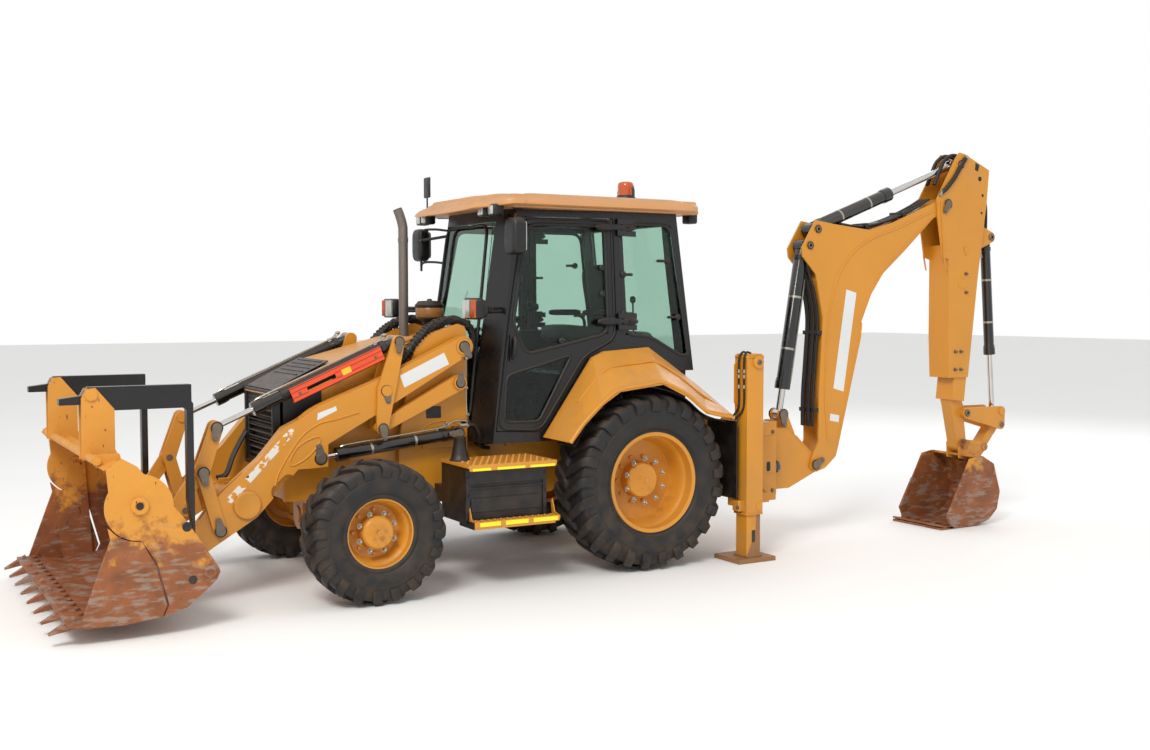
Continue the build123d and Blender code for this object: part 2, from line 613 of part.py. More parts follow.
with BuildPart() as bucket:
    plate(BACK_OUTLINE + BACK_INNER, 0, 2 * (BUCKET_HALF_W - BUCKET_SIDE_T))
    for flank in (1, -1):
        y_side = flank * (BUCKET_HALF_W - BUCKET_SIDE_T / 2)
        plate([(3963, 1040), (3932, 690), (3768, 600), (3682, 462), (3612, 195), (3646, 128), (3507, 168),
               (3325, 317), (3301, 368), (3311, 401), (3374, 500), (3510, 714), (3789, 1054), (3873, 1104)],
              y_side, BUCKET_SIDE_T)
        disc((JAW_PIN[0], JAW_PIN[1] - 10), SPLIT_R - 16, y_side, BUCKET_SIDE_T)
        # jaw pivot pin and its collar
        disc(JAW_PIN, 55, flank * (BUCKET_HALF_W + 5), 10)
        disc(JAW_PIN, PIN_R, flank * (BUCKET_HALF_W - 40), 80)
        # hinge ears for arms and levers
        for offset_y in (-LINK_OFFSET, LINK_OFFSET):
            y = flank * LINK_Y + offset_y
            plate([(3350, 306), (3300, 330), (3302, 400), (3402, 650), (3424, 690), (3470, 706), (3560, 720), (3460, 520),
                   (3440, 380), (3460, 270)], y, LINK_T)
            disc(BUCKET_HINGE, PIN_R + RUN_GAP, y, LINK_T, mode=Mode.SUBTRACT)
        for offset_y in (-1, 1):
            disc(BUCKET_LINK_PIN, PIN_R + 12, flank * LINK_Y + offset_y * (LINK_OFFSET + (LINK_T + PIN_HEAD_T) / 2),
                 PIN_HEAD_T)
        # brackets that carry the folding forks
        for offset_y in (-50, 50):
            y = flank * FORK_Y + offset_y
            plate([(3835, 1060), (4030, 1060), (4030, 1440), (4000, 1500), (3945, 1505), (3835, 1370)], y, 20)
            plate([(3780, 1010), (3890, 1085), (3990, 1052), (4025, 1075), (4025, 1120), (3835, 1120)], y, 20)
        disc(FORK_PIN, PIN_R, flank * FORK_Y, 120)
        disc(FORK_PIN, 36, flank * (FORK_Y + 66), 12)
        plate([(3835, 1020), (3890, 1060), (3990, 1040), (4030, 1085), (3995, 1120), (3860, 1120)],
              flank * 1000, 40)
    disc(SHAFT, 26, 0, 2080)
save(bucket, "bucket_back")

TEETH = 8
TOOTH_INSET = 75
OUTER_TOOTH = BUCKET_HALF_W - TOOTH_INSET

with BuildPart() as jaw:
    # floor and lip
    plate([(3660, 128), (3870, 104), (4130, 112), (4200, 130), (4200, 150), (4125, 150), (3870, 122), (3662, 146)],
          0, 2 * BUCKET_HALF_W)
    for flank in (1, -1):
        y_side = flank * (BUCKET_HALF_W - BUCKET_SIDE_T / 2)
        plate([(3960, 690), (3946, 620), (4118, 150), (4125, 112), (3870, 104), (3656, 128), (3626, 195), (3696, 456),
               (3768, 598), (3800, 640)], y_side, BUCKET_SIDE_T)
        disc(JAW_PIN, SPLIT_R, y_side, BUCKET_SIDE_T, mode=Mode.SUBTRACT)
        y_arm = flank * (BUCKET_HALF_W - BUCKET_SIDE_T - PLATE_GAP - JAW_ARM_T / 2)
        plate([(3716, 800), (3690, 440), (3672, 136), (3890, 114), (3920, 480), (3840, 800)], y_arm, JAW_ARM_T)
        disc(JAW_PIN, 62, y_arm, JAW_ARM_T)
        disc(JAW_PIN, PIN_R + RUN_GAP, y_arm, JAW_ARM_T, mode=Mode.SUBTRACT)
        plate([(3700, 150), (3900, 440), (4080, 150), (4060, 125), (3720, 130)],
              flank * (BUCKET_HALF_W - BUCKET_SIDE_T / 2 - 15), 40)
    for tooth in range(TEETH):
        y = OUTER_TOOTH * (2 * tooth / (TEETH - 1) - 1)
        with BuildSketch(Plane.YZ.offset(4150)):
            with Locations((y, 140)):
                Rectangle(70, 62)
        with BuildSketch(Plane.YZ.offset(4294)):
            with Locations((y, 84)):
                Rectangle(44, 10)
        loft()
save(jaw, "bucket_jaw")

with BuildPart() as forks:
    for flank in (1, -1):
        y = flank * FORK_Y
        plate([(4155, 1402), (4155, 1442), (3990, 1462), (3990, 1510), (3356, 1510), (3356, 1400),
               (3345, 1385), (3345, 540), (3358, 540), (3388, 760), (3388, 1345), (3402, 1360), (3930, 1360),
               (3990, 1402)], y, 70)
        strap([(FORK_PIN, 44), ((FORK_PIN[0] - 60, FORK_PIN[1] - 20), 44)], y, 70)
        disc(FORK_PIN, PIN_R + RUN_GAP, y, 70, mode=Mode.SUBTRACT)
save(forks, "loader_forks")

# ---------------------------------------------------------------- stabilisers
STAB_TOP = 1625
STAB_LOW = 370
LEG_HALF = STAB_TUBE / 2 - STAB_WALL - RUN_GAP
LEG_TOP = 900
PAD_T = 36

with BuildPart() as housings:
    for flank in (1, -1):
        block((STAB_TUBE, STAB_TUBE, STAB_TOP - STAB_LOW), (STAB_X, flank * STAB_Y, (STAB_TOP + STAB_LOW) / 2))
        block((STAB_TUBE - 2 * STAB_WALL, STAB_TUBE - 2 * STAB_WALL, STAB_TOP - STAB_LOW),
              (STAB_X, flank * STAB_Y, (STAB_TOP + STAB_LOW) / 2 - STAB_WALL), mode=Mode.SUBTRACT)
        disc((STAB_X - 20, STAB_TOP - 55), 36, flank * (STAB_Y + STAB_TUBE / 2 + 5), 14)
save(housings, "stabiliser_housings")

for side_name, flank in (("left", 1), ("right", -1)):
    with BuildPart() as leg:
        block((2 * LEG_HALF, 2 * LEG_HALF, LEG_TOP - PAD_T), (STAB_X, flank * STAB_Y, (LEG_TOP + PAD_T) / 2))
        block((30, 2 * LEG_HALF + 2, 90), (STAB_X, flank * STAB_Y, 200), mode=Mode.SUBTRACT)
        block((360, 330, PAD_T), (STAB_X, flank * (STAB_Y - 40), PAD_T / 2))
    save(leg, f"stabiliser_leg_{side_name}")

# ---------------------------------------------------------------- backhoe carriage and swing post
EAR_T = 45
EAR_LEVELS = (1000, 420)  # underside of the upper ear, underside of the lower ear
POST_LOW = EAR_LEVELS[1] + EAR_T + 4
POST_HIGH = EAR_LEVELS[0] - 4
POST_T = BOOM_T - 2 * HOE_PLATE - 2 * HOE_SIDE_GAP
CLAMP_T = 24
ROD_EAR_Y = 46           # the boom rod's ears, either side of the post's middle
ROD_EAR_T = 24

with BuildPart() as carriage:
    block((165, 540, 640), (RAIL_FACE_X - RUN_GAP - 82.5, HOE_Y, 740))
    # clamps over the upper rail and under the lower one
    for level, way in zip(RAIL_LEVELS, (1, -1)):
        block((CROSS_RAIL[0] + 30, 400, CLAMP_T),
              (RAIL_FACE_X - 15, HOE_Y, level + way * (CROSS_RAIL[1] / 2 + RUN_GAP + CLAMP_T / 2)))
    for level in EAR_LEVELS:
        with BuildSketch(Plane.XY.offset(level)):
            with Locations((SWING_X, HOE_Y)):
                Circle(66)
            with Locations((-1320, HOE_Y + 80), (-1320, HOE_Y - 80)):
                Circle(20)
            make_hull()
        extrude(amount=EAR_T)
    with Locations((SWING_X, HOE_Y, (EAR_LEVELS[0] + EAR_LEVELS[1] + EAR_T) / 2)):
        Cylinder(SWING_PIN_R, EAR_LEVELS[0] - EAR_LEVELS[1] + EAR_T + 20)
save(carriage, "backhoe_carriage")

with BuildPart() as post:
    with Locations((SWING_X, HOE_Y, (POST_LOW + POST_HIGH) / 2)):
        Cylinder(74, POST_HIGH - POST_LOW)
    plate([(-1470, 990), (-1600, 975), (-1704, 904), (-1903, 720), (-1903, 590), (-1614, 472), (-1470, 472)],
          HOE_Y, POST_T)
    disc(BOOM_FOOT, 60, HOE_Y, POST_T)
    for way in (-1, 1):
        strap([(BOOM_ROD_EYE, 46), ((-1640, 950), 38), ((-1670, 900), 30)], HOE_Y + way * ROD_EAR_Y, ROD_EAR_T)
        disc(BOOM_ROD_EYE, 38, HOE_Y + way * (ROD_EAR_Y + ROD_EAR_T / 2 + 5), 10)
    with Locations((SWING_X, HOE_Y, (POST_LOW + POST_HIGH) / 2)):
        Cylinder(SWING_PIN_R + RUN_GAP, POST_HIGH - POST_LOW, mode=Mode.SUBTRACT)
    disc(BOOM_FOOT, PIN_R + 8 + RUN_GAP, HOE_Y, POST_T, mode=Mode.SUBTRACT)
    # pocket that the boom rod's eye swings through
    strap([(BOOM_ROD_EYE, 60), ((-1715, 920), 60)], HOE_Y, 2 * ROD_EAR_Y - ROD_EAR_T, mode=Mode.SUBTRACT)
save(post, "swing_post")

# ---------------------------------------------------------------- boom
BOOM_OUTLINE = [
    (-1830, 630), (-1850, 720), (-1921, 850), (-1919, 1283), (-1954, 1907), (-1872, 2275), (-1729, 2422),
    (-1718, 2497), (-1866, 2733), (-2060, 2706), (-2470, 2667), (-2750, 2740), (-3237, 2929), (-3380, 2992),
    (-3440, 2975), (-3460, 2915), (-3420, 2860), (-3240, 2796), (-2895, 2497), (-2639, 2293), (-2503, 2111),
    (-2392, 1871), (-2394, 1749), (-2138, 779), (-2116, 712), (-2000, 620), (-1900, 592),
]
BOOM_CORE = [
    (-2010, 900), (-1935, 1300), (-1968, 1907), (-1905, 2230), (-2010, 2420), (-2180, 2580), (-2470, 2650),
    (-2750, 2722), (-3380, 2976), (-3445, 2915), (-3240, 2812), (-2895, 2513), (-2650, 2310), (-2515, 2115),
    (-2405, 1875), (-2406, 1749), (-2160, 820),
]
with BuildPart() as boom:
    for offset_y in (-1, 1):
        plate(BOOM_OUTLINE, HOE_Y + offset_y * (BOOM_T - HOE_PLATE) / 2, HOE_PLATE)
    plate(BOOM_CORE, HOE_Y, BOOM_T - 2 * HOE_PLATE)
    disc(BOOM_FOOT, PIN_R + 8, HOE_Y, BOOM_T + 24)
    for pin in (BOOM_BARREL_PIN, STICK_BASE_PIN):
        disc(pin, PIN_R, HOE_Y, BOOM_T + 16)
    disc(STICK_PIVOT, PIN_R + 8 + RUN_GAP, HOE_Y, BOOM_T, mode=Mode.SUBTRACT)
save(boom, "backhoe_boom")

# ---------------------------------------------------------------- stick, fixed and sliding sections
SLIDE_TOP = (-3860, 2860)        # rear edge of the sliding section
SLIDE_FOOT = (-3668, 1130)
SLIDE_LENGTH = span(SLIDE_TOP, SLIDE_FOOT)
SLIDE_DEPTH = 160
SLIDE_T = STICK_T - 2 * HOE_PLATE - 2 * HOE_SIDE_GAP
SLIDE_DIR = ((SLIDE_FOOT[0] - SLIDE_TOP[0]) / SLIDE_LENGTH, (SLIDE_FOOT[1] - SLIDE_TOP[1]) / SLIDE_LENGTH)
NOSE_T = 120
PAD_LINER_T = HOE_SIDE_GAP - RUN_GAP
HOE_EAR_T = 16           # the bucket's ears, beside the nose
HOE_EAR_OFFSET = NOSE_T / 2 + PLATE_GAP + HOE_EAR_T / 2
GUIDE_T = 22             # guide links, outside the ears and their pin heads
GUIDE_OFFSET = HOE_EAR_OFFSET + HOE_EAR_T / 2 + PIN_HEAD_T + 2 * PLATE_GAP + GUIDE_T / 2


def slide_point(along, ahead):
    """Point of the sliding section, along it from its top and ahead of its rear edge."""
    return (SLIDE_TOP[0] + along * SLIDE_DIR[0] - ahead * SLIDE_DIR[1],
            SLIDE_TOP[1] + along * SLIDE_DIR[1] + ahead * SLIDE_DIR[0])


STICK_OUTLINE = [
    (-3537, 3395), (-3600, 3385), (-3920, 3255), (-3894, 2937), (-3795, 2262), (-3731, 1716), (-3690, 1352),
    (-3446, 1352), (-3426, 1720), (-3421, 2430), (-3345, 2450), (-3277, 2789), (-3261, 2965), (-3488, 3339),
]
with BuildPart() as stick:
    for offset_y in (-1, 1):
        plate(STICK_OUTLINE, HOE_Y + offset_y * (STICK_T - HOE_PLATE) / 2, HOE_PLATE)
    plate([(-3446, 1352), (-3470, 1352), (-3450, 1720), (-3445, 2560), (-3421, 2560), (-3426, 1720)],
          HOE_Y, STICK_T - HOE_PLATE)
    plate([(-3890, 2937), (-3918, 3255), (-3850, 3275), (-3850, 2990)], HOE_Y, STICK_T - HOE_PLATE)
    disc(STICK_PIVOT, PIN_R + 8, HOE_Y, STICK_T + 24)
    for offset_y in (-1, 1):
        disc(STICK_ROD_EYE, 40, HOE_Y + offset_y * (STICK_T / 2 + 5), 10)
        # wear pads that guide the sliding section
        for along in (300, 1380):
            plate([slide_point(along, 40), slide_point(along, 120), slide_point(along + 90, 120),
                   slide_point(along + 90, 40)], HOE_Y + offset_y * (STICK_T / 2 - HOE_PLATE - PAD_LINER_T / 2),
                  PAD_LINER_T)
save(stick, "backhoe_stick")

with BuildPart() as slide:
    plate([slide_point(0, 3), slide_point(0, SLIDE_DEPTH), slide_point(SLIDE_LENGTH, SLIDE_DEPTH),
           slide_point(SLIDE_LENGTH, 3)], HOE_Y, SLIDE_T)
    strap([(HOE_BUCKET_PIN, 58), (slide_point(SLIDE_LENGTH - 60, 80), 76)], HOE_Y, NOSE_T)
    strap([(GUIDE_PIN, 50), (slide_point(SLIDE_LENGTH, 80), 60)], HOE_Y, NOSE_T)
    for offset_y in (-66, 66):
        strap([(HOE_CYL_PIN, 48), (slide_point(130, 50), 40), (slide_point(330, 50), 40)], HOE_Y + offset_y, 24)
    disc(HOE_CYL_PIN, PIN_R, HOE_Y, 168)
    disc(GUIDE_PIN, 42, HOE_Y, 2 * (GUIDE_OFFSET - GUIDE_T / 2 - RUN_GAP))
    disc(GUIDE_PIN, PIN_R, HOE_Y, 2 * GUIDE_OFFSET + GUIDE_T + 10)
    disc(HOE_BUCKET_PIN, PIN_R + 4 + RUN_GAP, HOE_Y, NOSE_T, mode=Mode.SUBTRACT)
save(slide, "stick_extension")

# ---------------------------------------------------------------- backhoe cylinders and bucket links
with BuildPart() as boom_barrel:
    barrel(BOOM_BARREL_PIN, BOOM_ROD_EYE, HOE_Y, 58, 1230, 55, 120, 30)
save(boom_barrel, "boom_barrel")
with BuildPart() as boom_rod:
    rod(BOOM_BARREL_PIN, BOOM_ROD_EYE, HOE_Y, 30, 190, 44, 64)
save(boom_rod, "boom_rod")
with BuildPart() as stick_barrel:
    barrel(STICK_BASE_PIN, STICK_ROD_EYE, HOE_Y, 55, 960, 52, 120, 30)
save(stick_barrel, "stick_barrel")
with BuildPart() as stick_rod:
    rod(STICK_BASE_PIN, STICK_ROD_EYE, HOE_Y, 30, 790, 48, 80)
save(stick_rod, "stick_rod")
with BuildPart() as hoe_barrel:
    barrel(HOE_CYL_PIN, HOE_ROD_EYE, HOE_Y, 46, 1100, 46, 96, 25)
save(hoe_barrel, "bucket_barrel")
with BuildPart() as hoe_rod:
    rod(HOE_CYL_PIN, HOE_ROD_EYE, HOE_Y, 25, 400, 44, 60)
save(hoe_rod, "bucket_rod")

with BuildPart() as guide_links:
    for offset_y in (-GUIDE_OFFSET, GUIDE_OFFSET):
        y = HOE_Y + offset_y
        strap([(GUIDE_PIN, 48), (HOE_ROD_EYE, 46), (HOE_LINK_PIN, 46)], y, GUIDE_T)
        disc(GUIDE_PIN, PIN_R + RUN_GAP, y, GUIDE_T, mode=Mode.SUBTRACT)
        disc(HOE_ROD_EYE, 38, y + (17 if offset_y > 0 else -17), PIN_HEAD_T)
    disc(HOE_LINK_PIN, PIN_R, HOE_Y, 2 * GUIDE_OFFSET + GUIDE_T + 8)
save(guide_links, "bucket_guide_links")

with BuildPart() as bucket_link:
    strap([(HOE_LINK_PIN, 42), (HOE_BUCKET_LINK, 40)], HOE_Y, NOSE_T - 10)
    for pin in (HOE_LINK_PIN, HOE_BUCKET_LINK):
        disc(pin, PIN_R + RUN_GAP, HOE_Y, NOSE_T, mode=Mode.SUBTRACT)
save(bucket_link, "bucket_link")

HOE_BACK = [(-3660, 640), (-3700, 640), (-3850, 560), (-3935, 300), (-3900, 140), (-3800, 50), (-3640, 8), (-3340, 6),
            (-3187, 2)]
HOE_INNER = [(-3185, 20), (-3340, 22), (-3636, 24), (-3790, 64), (-3886, 148), (-3918, 300), (-3838, 546), (-3694, 624),
             (-3660, 624)]
with BuildPart() as hoe_bucket:
    plate(HOE_BACK + HOE_INNER, HOE_Y, 2 * HOE_BUCKET_HALF)
    for offset_y in (-1, 1):
        plate([*HOE_BACK[:-1], (-3300, 30), (-3262, 120), (-3420, 400), (-3540, 620)],
              HOE_Y + offset_y * (HOE_BUCKET_HALF - 8), 16)
        y = HOE_Y + offset_y * HOE_EAR_OFFSET
        plate([(-3640, 600), (-3632, 740), (-3680, 775), (-3960, 738), (-4006, 700), (-4000, 660), (-3960, 645),
               (-3850, 540), (-3700, 590)], y, HOE_EAR_T)
    disc(HOE_BUCKET_PIN, PIN_R + 4, HOE_Y, NOSE_T + 80)
    for offset_y in (-1, 1):
        disc(HOE_BUCKET_LINK, PIN_R + 10, HOE_Y + offset_y * (HOE_EAR_OFFSET + (HOE_EAR_T + 12) / 2), 12)
save(hoe_bucket, "backhoe_bucket")

# ---------------------------------------------------------------- cab
DOOR_OUTLINE = [(882, 2670), (1026, 1885), (1146, 1092), (804, 1075), (424, 1622), (186, 1741), (150, 1800), (160, 2670)]
DOOR_PANES = (
    [(850, 2620), (222, 2620), (212, 1800), (892, 1650), (947, 1787), (985, 1880)],
    [(1050, 1495), (520, 1640), (804, 1150), (1080, 1153)],
)
QUARTER_PANE = [(90, 2640), (-380, 2640), (-520, 1620), (-440, 1620), (-146, 1780), (60, 1780)]
CAB_CUT_TOP = 1500       # the cab is narrow below this, over the wheels
CAB_LOW = [(1250, 450), (1180, 690), (150, 780), (-620, 780)]
CAB_HIGH = [(1030, 380), (930, 590), (130, 700), (-430, 700)]


def cab_side_y(x, z):
    """Outer face of the cab's side at a height and a place along it."""
    rise = (z - CAB_BOTTOM) / (CAB_TOP - CAB_BOTTOM)
    corners = [((1 - rise) * low[0] + rise * high[0], (1 - rise) * low[1] + rise * high[1])
               for low, high in zip(CAB_LOW, CAB_HIGH)]
    front, pillar = corners[1], corners[2]
    if x <= pillar[0]:
        return pillar[1]
    return pillar[1] + (x - pillar[0]) * (front[1] - pillar[1]) / (front[0] - pillar[0])


def cab_shape(inset):
    """Tapered cab volume, its walls moved inwards by inset."""
    with BuildPart() as volume:
        for level, corners in ((CAB_BOTTOM + inset, CAB_LOW), (CAB_TOP - inset, CAB_HIGH)):
            with BuildSketch(Plane.XY.offset(level)):
                Polygon(*corners, *[(x, -y) for x, y in reversed(corners)], align=None)
                if inset:
                    offset(amount=-inset, kind=Kind.INTERSECTION)
        loft()
    return volume.part


cab_outer = cab_shape(0)
cab_inner = cab_shape(CAB_WALL)
pane_outer = cab_shape(CAB_WALL / 2 - GLASS_T / 2)
pane_inner = cab_shape(CAB_WALL / 2 + GLASS_T / 2)


def prism(outline, near, far):
    """Solid across Y between near and far from an (x, z) outline."""
    with BuildPart() as solid:
        plate(outline, (near + far) / 2, abs(far - near))
    return solid.part


def grown(outline, amount):
    """Outline with its sides moved outwards."""
    with BuildSketch() as shape:
        Polygon(*outline, align=None)
        offset(amount=amount, kind=Kind.INTERSECTION)
    return [(v.X, v.Y) for v in shape.sketch.faces()[0].outer_wire().vertices()]


HANDLE = (1010, 1700)
DOOR_HINGES = (1890, 2610)   # heights of the two hinges
DOOR_KNUCKLE = 44            # pitch of a hinge's knuckles
DOOR_PIN_R = 8
HINGE_OUT = 22               # hinge line, outside the cab's side
HINGE_LINE_X = 12            # hinge line, behind the door's rear edge
MIRROR = (1090, 900, 2520)
MIRROR_SIZE = (60, 170, 240)
LAMP = (1386, 774, 1990)
LAMP_DEPTH = 90


def door_hinge_plane(flank, level):
    """Plane square to a door's hinge line, at a height along it; its x points forward."""
    rise = (level - CAB_BOTTOM) / (CAB_TOP - CAB_BOTTOM)
    low, high = CAB_LOW[2], CAB_HIGH[2]
    x = low[0] + rise * (high[0] - low[0]) - HINGE_LINE_X
    y = low[1] + rise * (high[1] - low[1]) + HINGE_OUT
    return Plane(origin=(x, flank * y, level), x_dir=(1, 0, 0),
                 z_dir=(high[0] - low[0], flank * (high[1] - low[1]), CAB_TOP - CAB_BOTTOM))


def hinge_leaf(flank, level, way):
    """Knuckle and pad of a door hinge: way is 1 on the door and -1 on the cab."""
    with BuildSketch(door_hinge_plane(flank, level - DOOR_KNUCKLE / 2 + 1)) as leaf:
        Circle(DOOR_PIN_R + 8)
        with Locations((way * 165, -flank * (HINGE_OUT + 10 + (8 if way > 0 else -4)))):
            Circle(8)
        make_hull()
        Circle(DOOR_PIN_R + (RUN_GAP if way > 0 else -1), mode=Mode.SUBTRACT)
    extrude(leaf.sketch, amount=DOOR_KNUCKLE - 2)


with BuildPart() as cab_frame:
    add(cab_outer)
    add(cab_inner, mode=Mode.SUBTRACT)
    # wheel side: the cab is narrow below the fenders
    for flank in (1, -1):
        plate([(-700, 900), (-700, CAB_CUT_TOP), (380, CAB_CUT_TOP), (800, 1060), (800, 900)], flank * 720, 240,
              mode=Mode.SUBTRACT)
        plate([(-600, CAB_BOTTOM), (-600, CAB_CUT_TOP), (380, CAB_CUT_TOP), (780, 1060), (780, CAB_BOTTOM)],
              flank * 588, 24)
        add(prism(grown(DOOR_OUTLINE, BODY_GAP), flank * 500, flank * 900), mode=Mode.SUBTRACT)
        add(prism(QUARTER_PANE, flank * 500, flank * 900), mode=Mode.SUBTRACT)
    block((500, 860, 1500), (1150, 0, 1120 + 770), mode=Mode.SUBTRACT)
    block((400, 1120, 1080), (-560, 0, 2100), mode=Mode.SUBTRACT)
    # floor step behind the seat
    block((1000, 1150, 30), (-100, 0, 1485))
    for flank in (1, -1):
        # arms of the mirrors and of the work lamps
        bar((955, flank * 530, 2580), (MIRROR[0], flank * (MIRROR[1] - 100), MIRROR[2] + 30), 12)
        disc((MIRROR[0], MIRROR[2] + 30), 12, flank * (MIRROR[1] - 100), 2 * (100 - MIRROR_SIZE[1] / 2 - RUN_GAP))
        bar((1040, flank * 560, LAMP[2]), (LAMP[0] - LAMP_DEPTH / 2 - 30, flank * LAMP[1], LAMP[2]), 14)
        block((50, 40, 36), (LAMP[0] - LAMP_DEPTH / 2 - RUN_GAP - 25, flank * LAMP[1], LAMP[2]))
        # hinge lugs and pins
        for level in DOOR_HINGES:
            for offset in (-DOOR_KNUCKLE, DOOR_KNUCKLE):
                hinge_leaf(flank, level + offset, -1)
            with BuildSketch(door_hinge_plane(flank, level - 1.5 * DOOR_KNUCKLE)) as pin:
                Circle(DOOR_PIN_R)
            extrude(pin.sketch, amount=3 * DOOR_KNUCKLE)
save(cab_frame, "cab_frame")

for side_name, flank in (("left", 1), ("right", -1)):
    with BuildPart() as door:
        add(cab_outer)
        add(cab_inner, mode=Mode.SUBTRACT)
        add(prism(DOOR_OUTLINE, flank * 400, flank * 900), mode=Mode.INTERSECT)
        for pane in DOOR_PANES:
            add(prism(pane, flank * 400, flank * 900), mode=Mode.SUBTRACT)
        with BuildSketch(side_plane(flank * (cab_side_y(HANDLE[0], HANDLE[1]) + 5))):
            with Locations(HANDLE):
                RectangleRounded(44, 200, 12)
        extrude(amount=20, both=True)
        for level in DOOR_HINGES:
            hinge_leaf(flank, level, 1)
    save(door, f"door_{side_name}")
    with BuildPart() as panes:
        add(pane_outer)
        add(pane_inner, mode=Mode.SUBTRACT)
        with BuildPart(mode=Mode.PRIVATE) as cutter:
            for pane in DOOR_PANES:
                add(prism(pane, flank * 400, flank * 900))
        add(cutter.part, mode=Mode.INTERSECT)
    save(panes, f"door_glass_{side_name}")

with BuildPart() as glass:
    add(pane_outer)
    add(pane_inner, mode=Mode.SUBTRACT)
    with BuildPart(mode=Mode.PRIVATE) as cutter:
        for flank in (1, -1):
            add(prism(QUARTER_PANE, flank * 500, flank * 900))
        block((500, 859.4, 1499.4), (1150, 0, 1120 + 770))
        block((400, 1119.4, 1079.4), (-560, 0, 2100))
    add(cutter.part, mode=Mode.INTERSECT)
save(glass, "cab_glass")

with BuildPart() as roof:
    with BuildSketch(Plane.XY.offset(CAB_TOP + 0.3)):
        Polygon((1200, 360), (1120, 560), (1030, 740), (-610, 760), (-640, 700), (-640, -700), (-610, -760),
                (1030, -740), (1120, -560), (1200, -360), align=None)
    extrude(amount=100, taper=12)
save(roof, "cab_roof")

with BuildPart() as interior:
    block((480, 500, 110), (60, 0, 1560 + 200))
    block((110, 480, 560), (-200, 0, 2060))
    block((420, 420, 205), (60, 0, 1602.5))
    block((300, 420, 510), (930, 0, CAB_BOTTOM + CAB_WALL + 255))
    with Locations((820, 0, 1700)):
        with Locations(Rotation(0, -35, 0)):
            Torus(185, 14)
            Box(370, 30, 16)
            with Locations((0, 0, -130)):
                Cylinder(26, 260)
save(interior, "cab_interior")

# ---------------------------------------------------------------- fenders, steps, lamps
FENDER_INNER = [
    (800, 1036), (486, 1480), (386, 1622), (284, 1665), (-116, 1690), (-314, 1562), (-609, 1365), (-780, 1240),
    (-770, 1215), (-600, 1340), (-320, 1530), (-125, 1655), (276, 1632), (366, 1590), (462, 1460), (775, 1030),
]
FENDER_SEAT_Y = cab_side_y(0, CAB_CUT_TOP) + RUN_GAP

with BuildPart() as fenders:
    for flank in (1, -1):
        with BuildSketch(side_plane(flank * 790)):
            Polygon(*FENDER_INNER, align=None)
        with BuildSketch(side_plane(flank * 1105)):
            Polygon((771, 1027), (659, 1167), (497, 1314), (348, 1405), (-42, 1448), (-271, 1350), (-451, 1214),
                    (-700, 1160), (-700, 1130), (-445, 1180), (-262, 1316), (-45, 1418), (336, 1376), (480, 1288),
                    (640, 1146), (748, 1016), align=None)
        loft(ruled=True)
        # flange along the cab's side
        plate(FENDER_INNER, flank * (790 + FENDER_SEAT_Y) / 2, 790 - FENDER_SEAT_Y)
save(fenders, "rear_fenders")

with BuildPart() as steps:
    for flank in (1, -1):
        block((700, 470, 20), (1230, flank * 880, 900))
        block((680, 90, 24), (1200, flank * 1080, 500))
        block((640, 400, 400), (1240, flank * 820, 690))
        block((640, 250, 30), (1220, flank * 1000, 475))
        # brackets on the frame and on the loader tower
        for x, seat in ((1000, RAIL_Y + RAIL_T / 2), (1480, TOWER_Y)):
            block((80, 640 - seat, 120), (x, flank * (640 + seat) / 2, 640))
save(steps, "step_boxes")

LAMP_FACE = (130, 165)
ROOF_LAMP_SIZE = (60, 100, 60)
ROOF_LAMPS = ((1110, 610), (1140, 440), (-600, 560))  # (x, y) of each, either side

with BuildPart() as lamps:
    for flank in (1, -1):
        with BuildSketch(Plane.YZ.offset(LAMP[0] - LAMP_DEPTH / 2)):
            with Locations((flank * LAMP[1], LAMP[2])):
                RectangleRounded(*LAMP_FACE, 30)
        extrude(amount=LAMP_DEPTH)
        for x, y in ROOF_LAMPS:
            block(ROOF_LAMP_SIZE, (x, flank * y, CAB_TOP - ROOF_LAMP_SIZE[2] / 2))
        block(MIRROR_SIZE, (MIRROR[0], flank * MIRROR[1], MIRROR[2]))
    with Locations((-130, 450, CAB_TOP + 100.6 + 75)):
        Cylinder(60, 150)
save(lamps, "lamps_and_mirrors")
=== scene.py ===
"""Backhoe loader dressed over its CAD frame: paint, rubber, glass, hoses and fittings.

Metres. Lengths along the machine are written from the rear axle, and piece() moves them to the frame's place.
The sections follow the order in which the machine is put together.
"""
import json

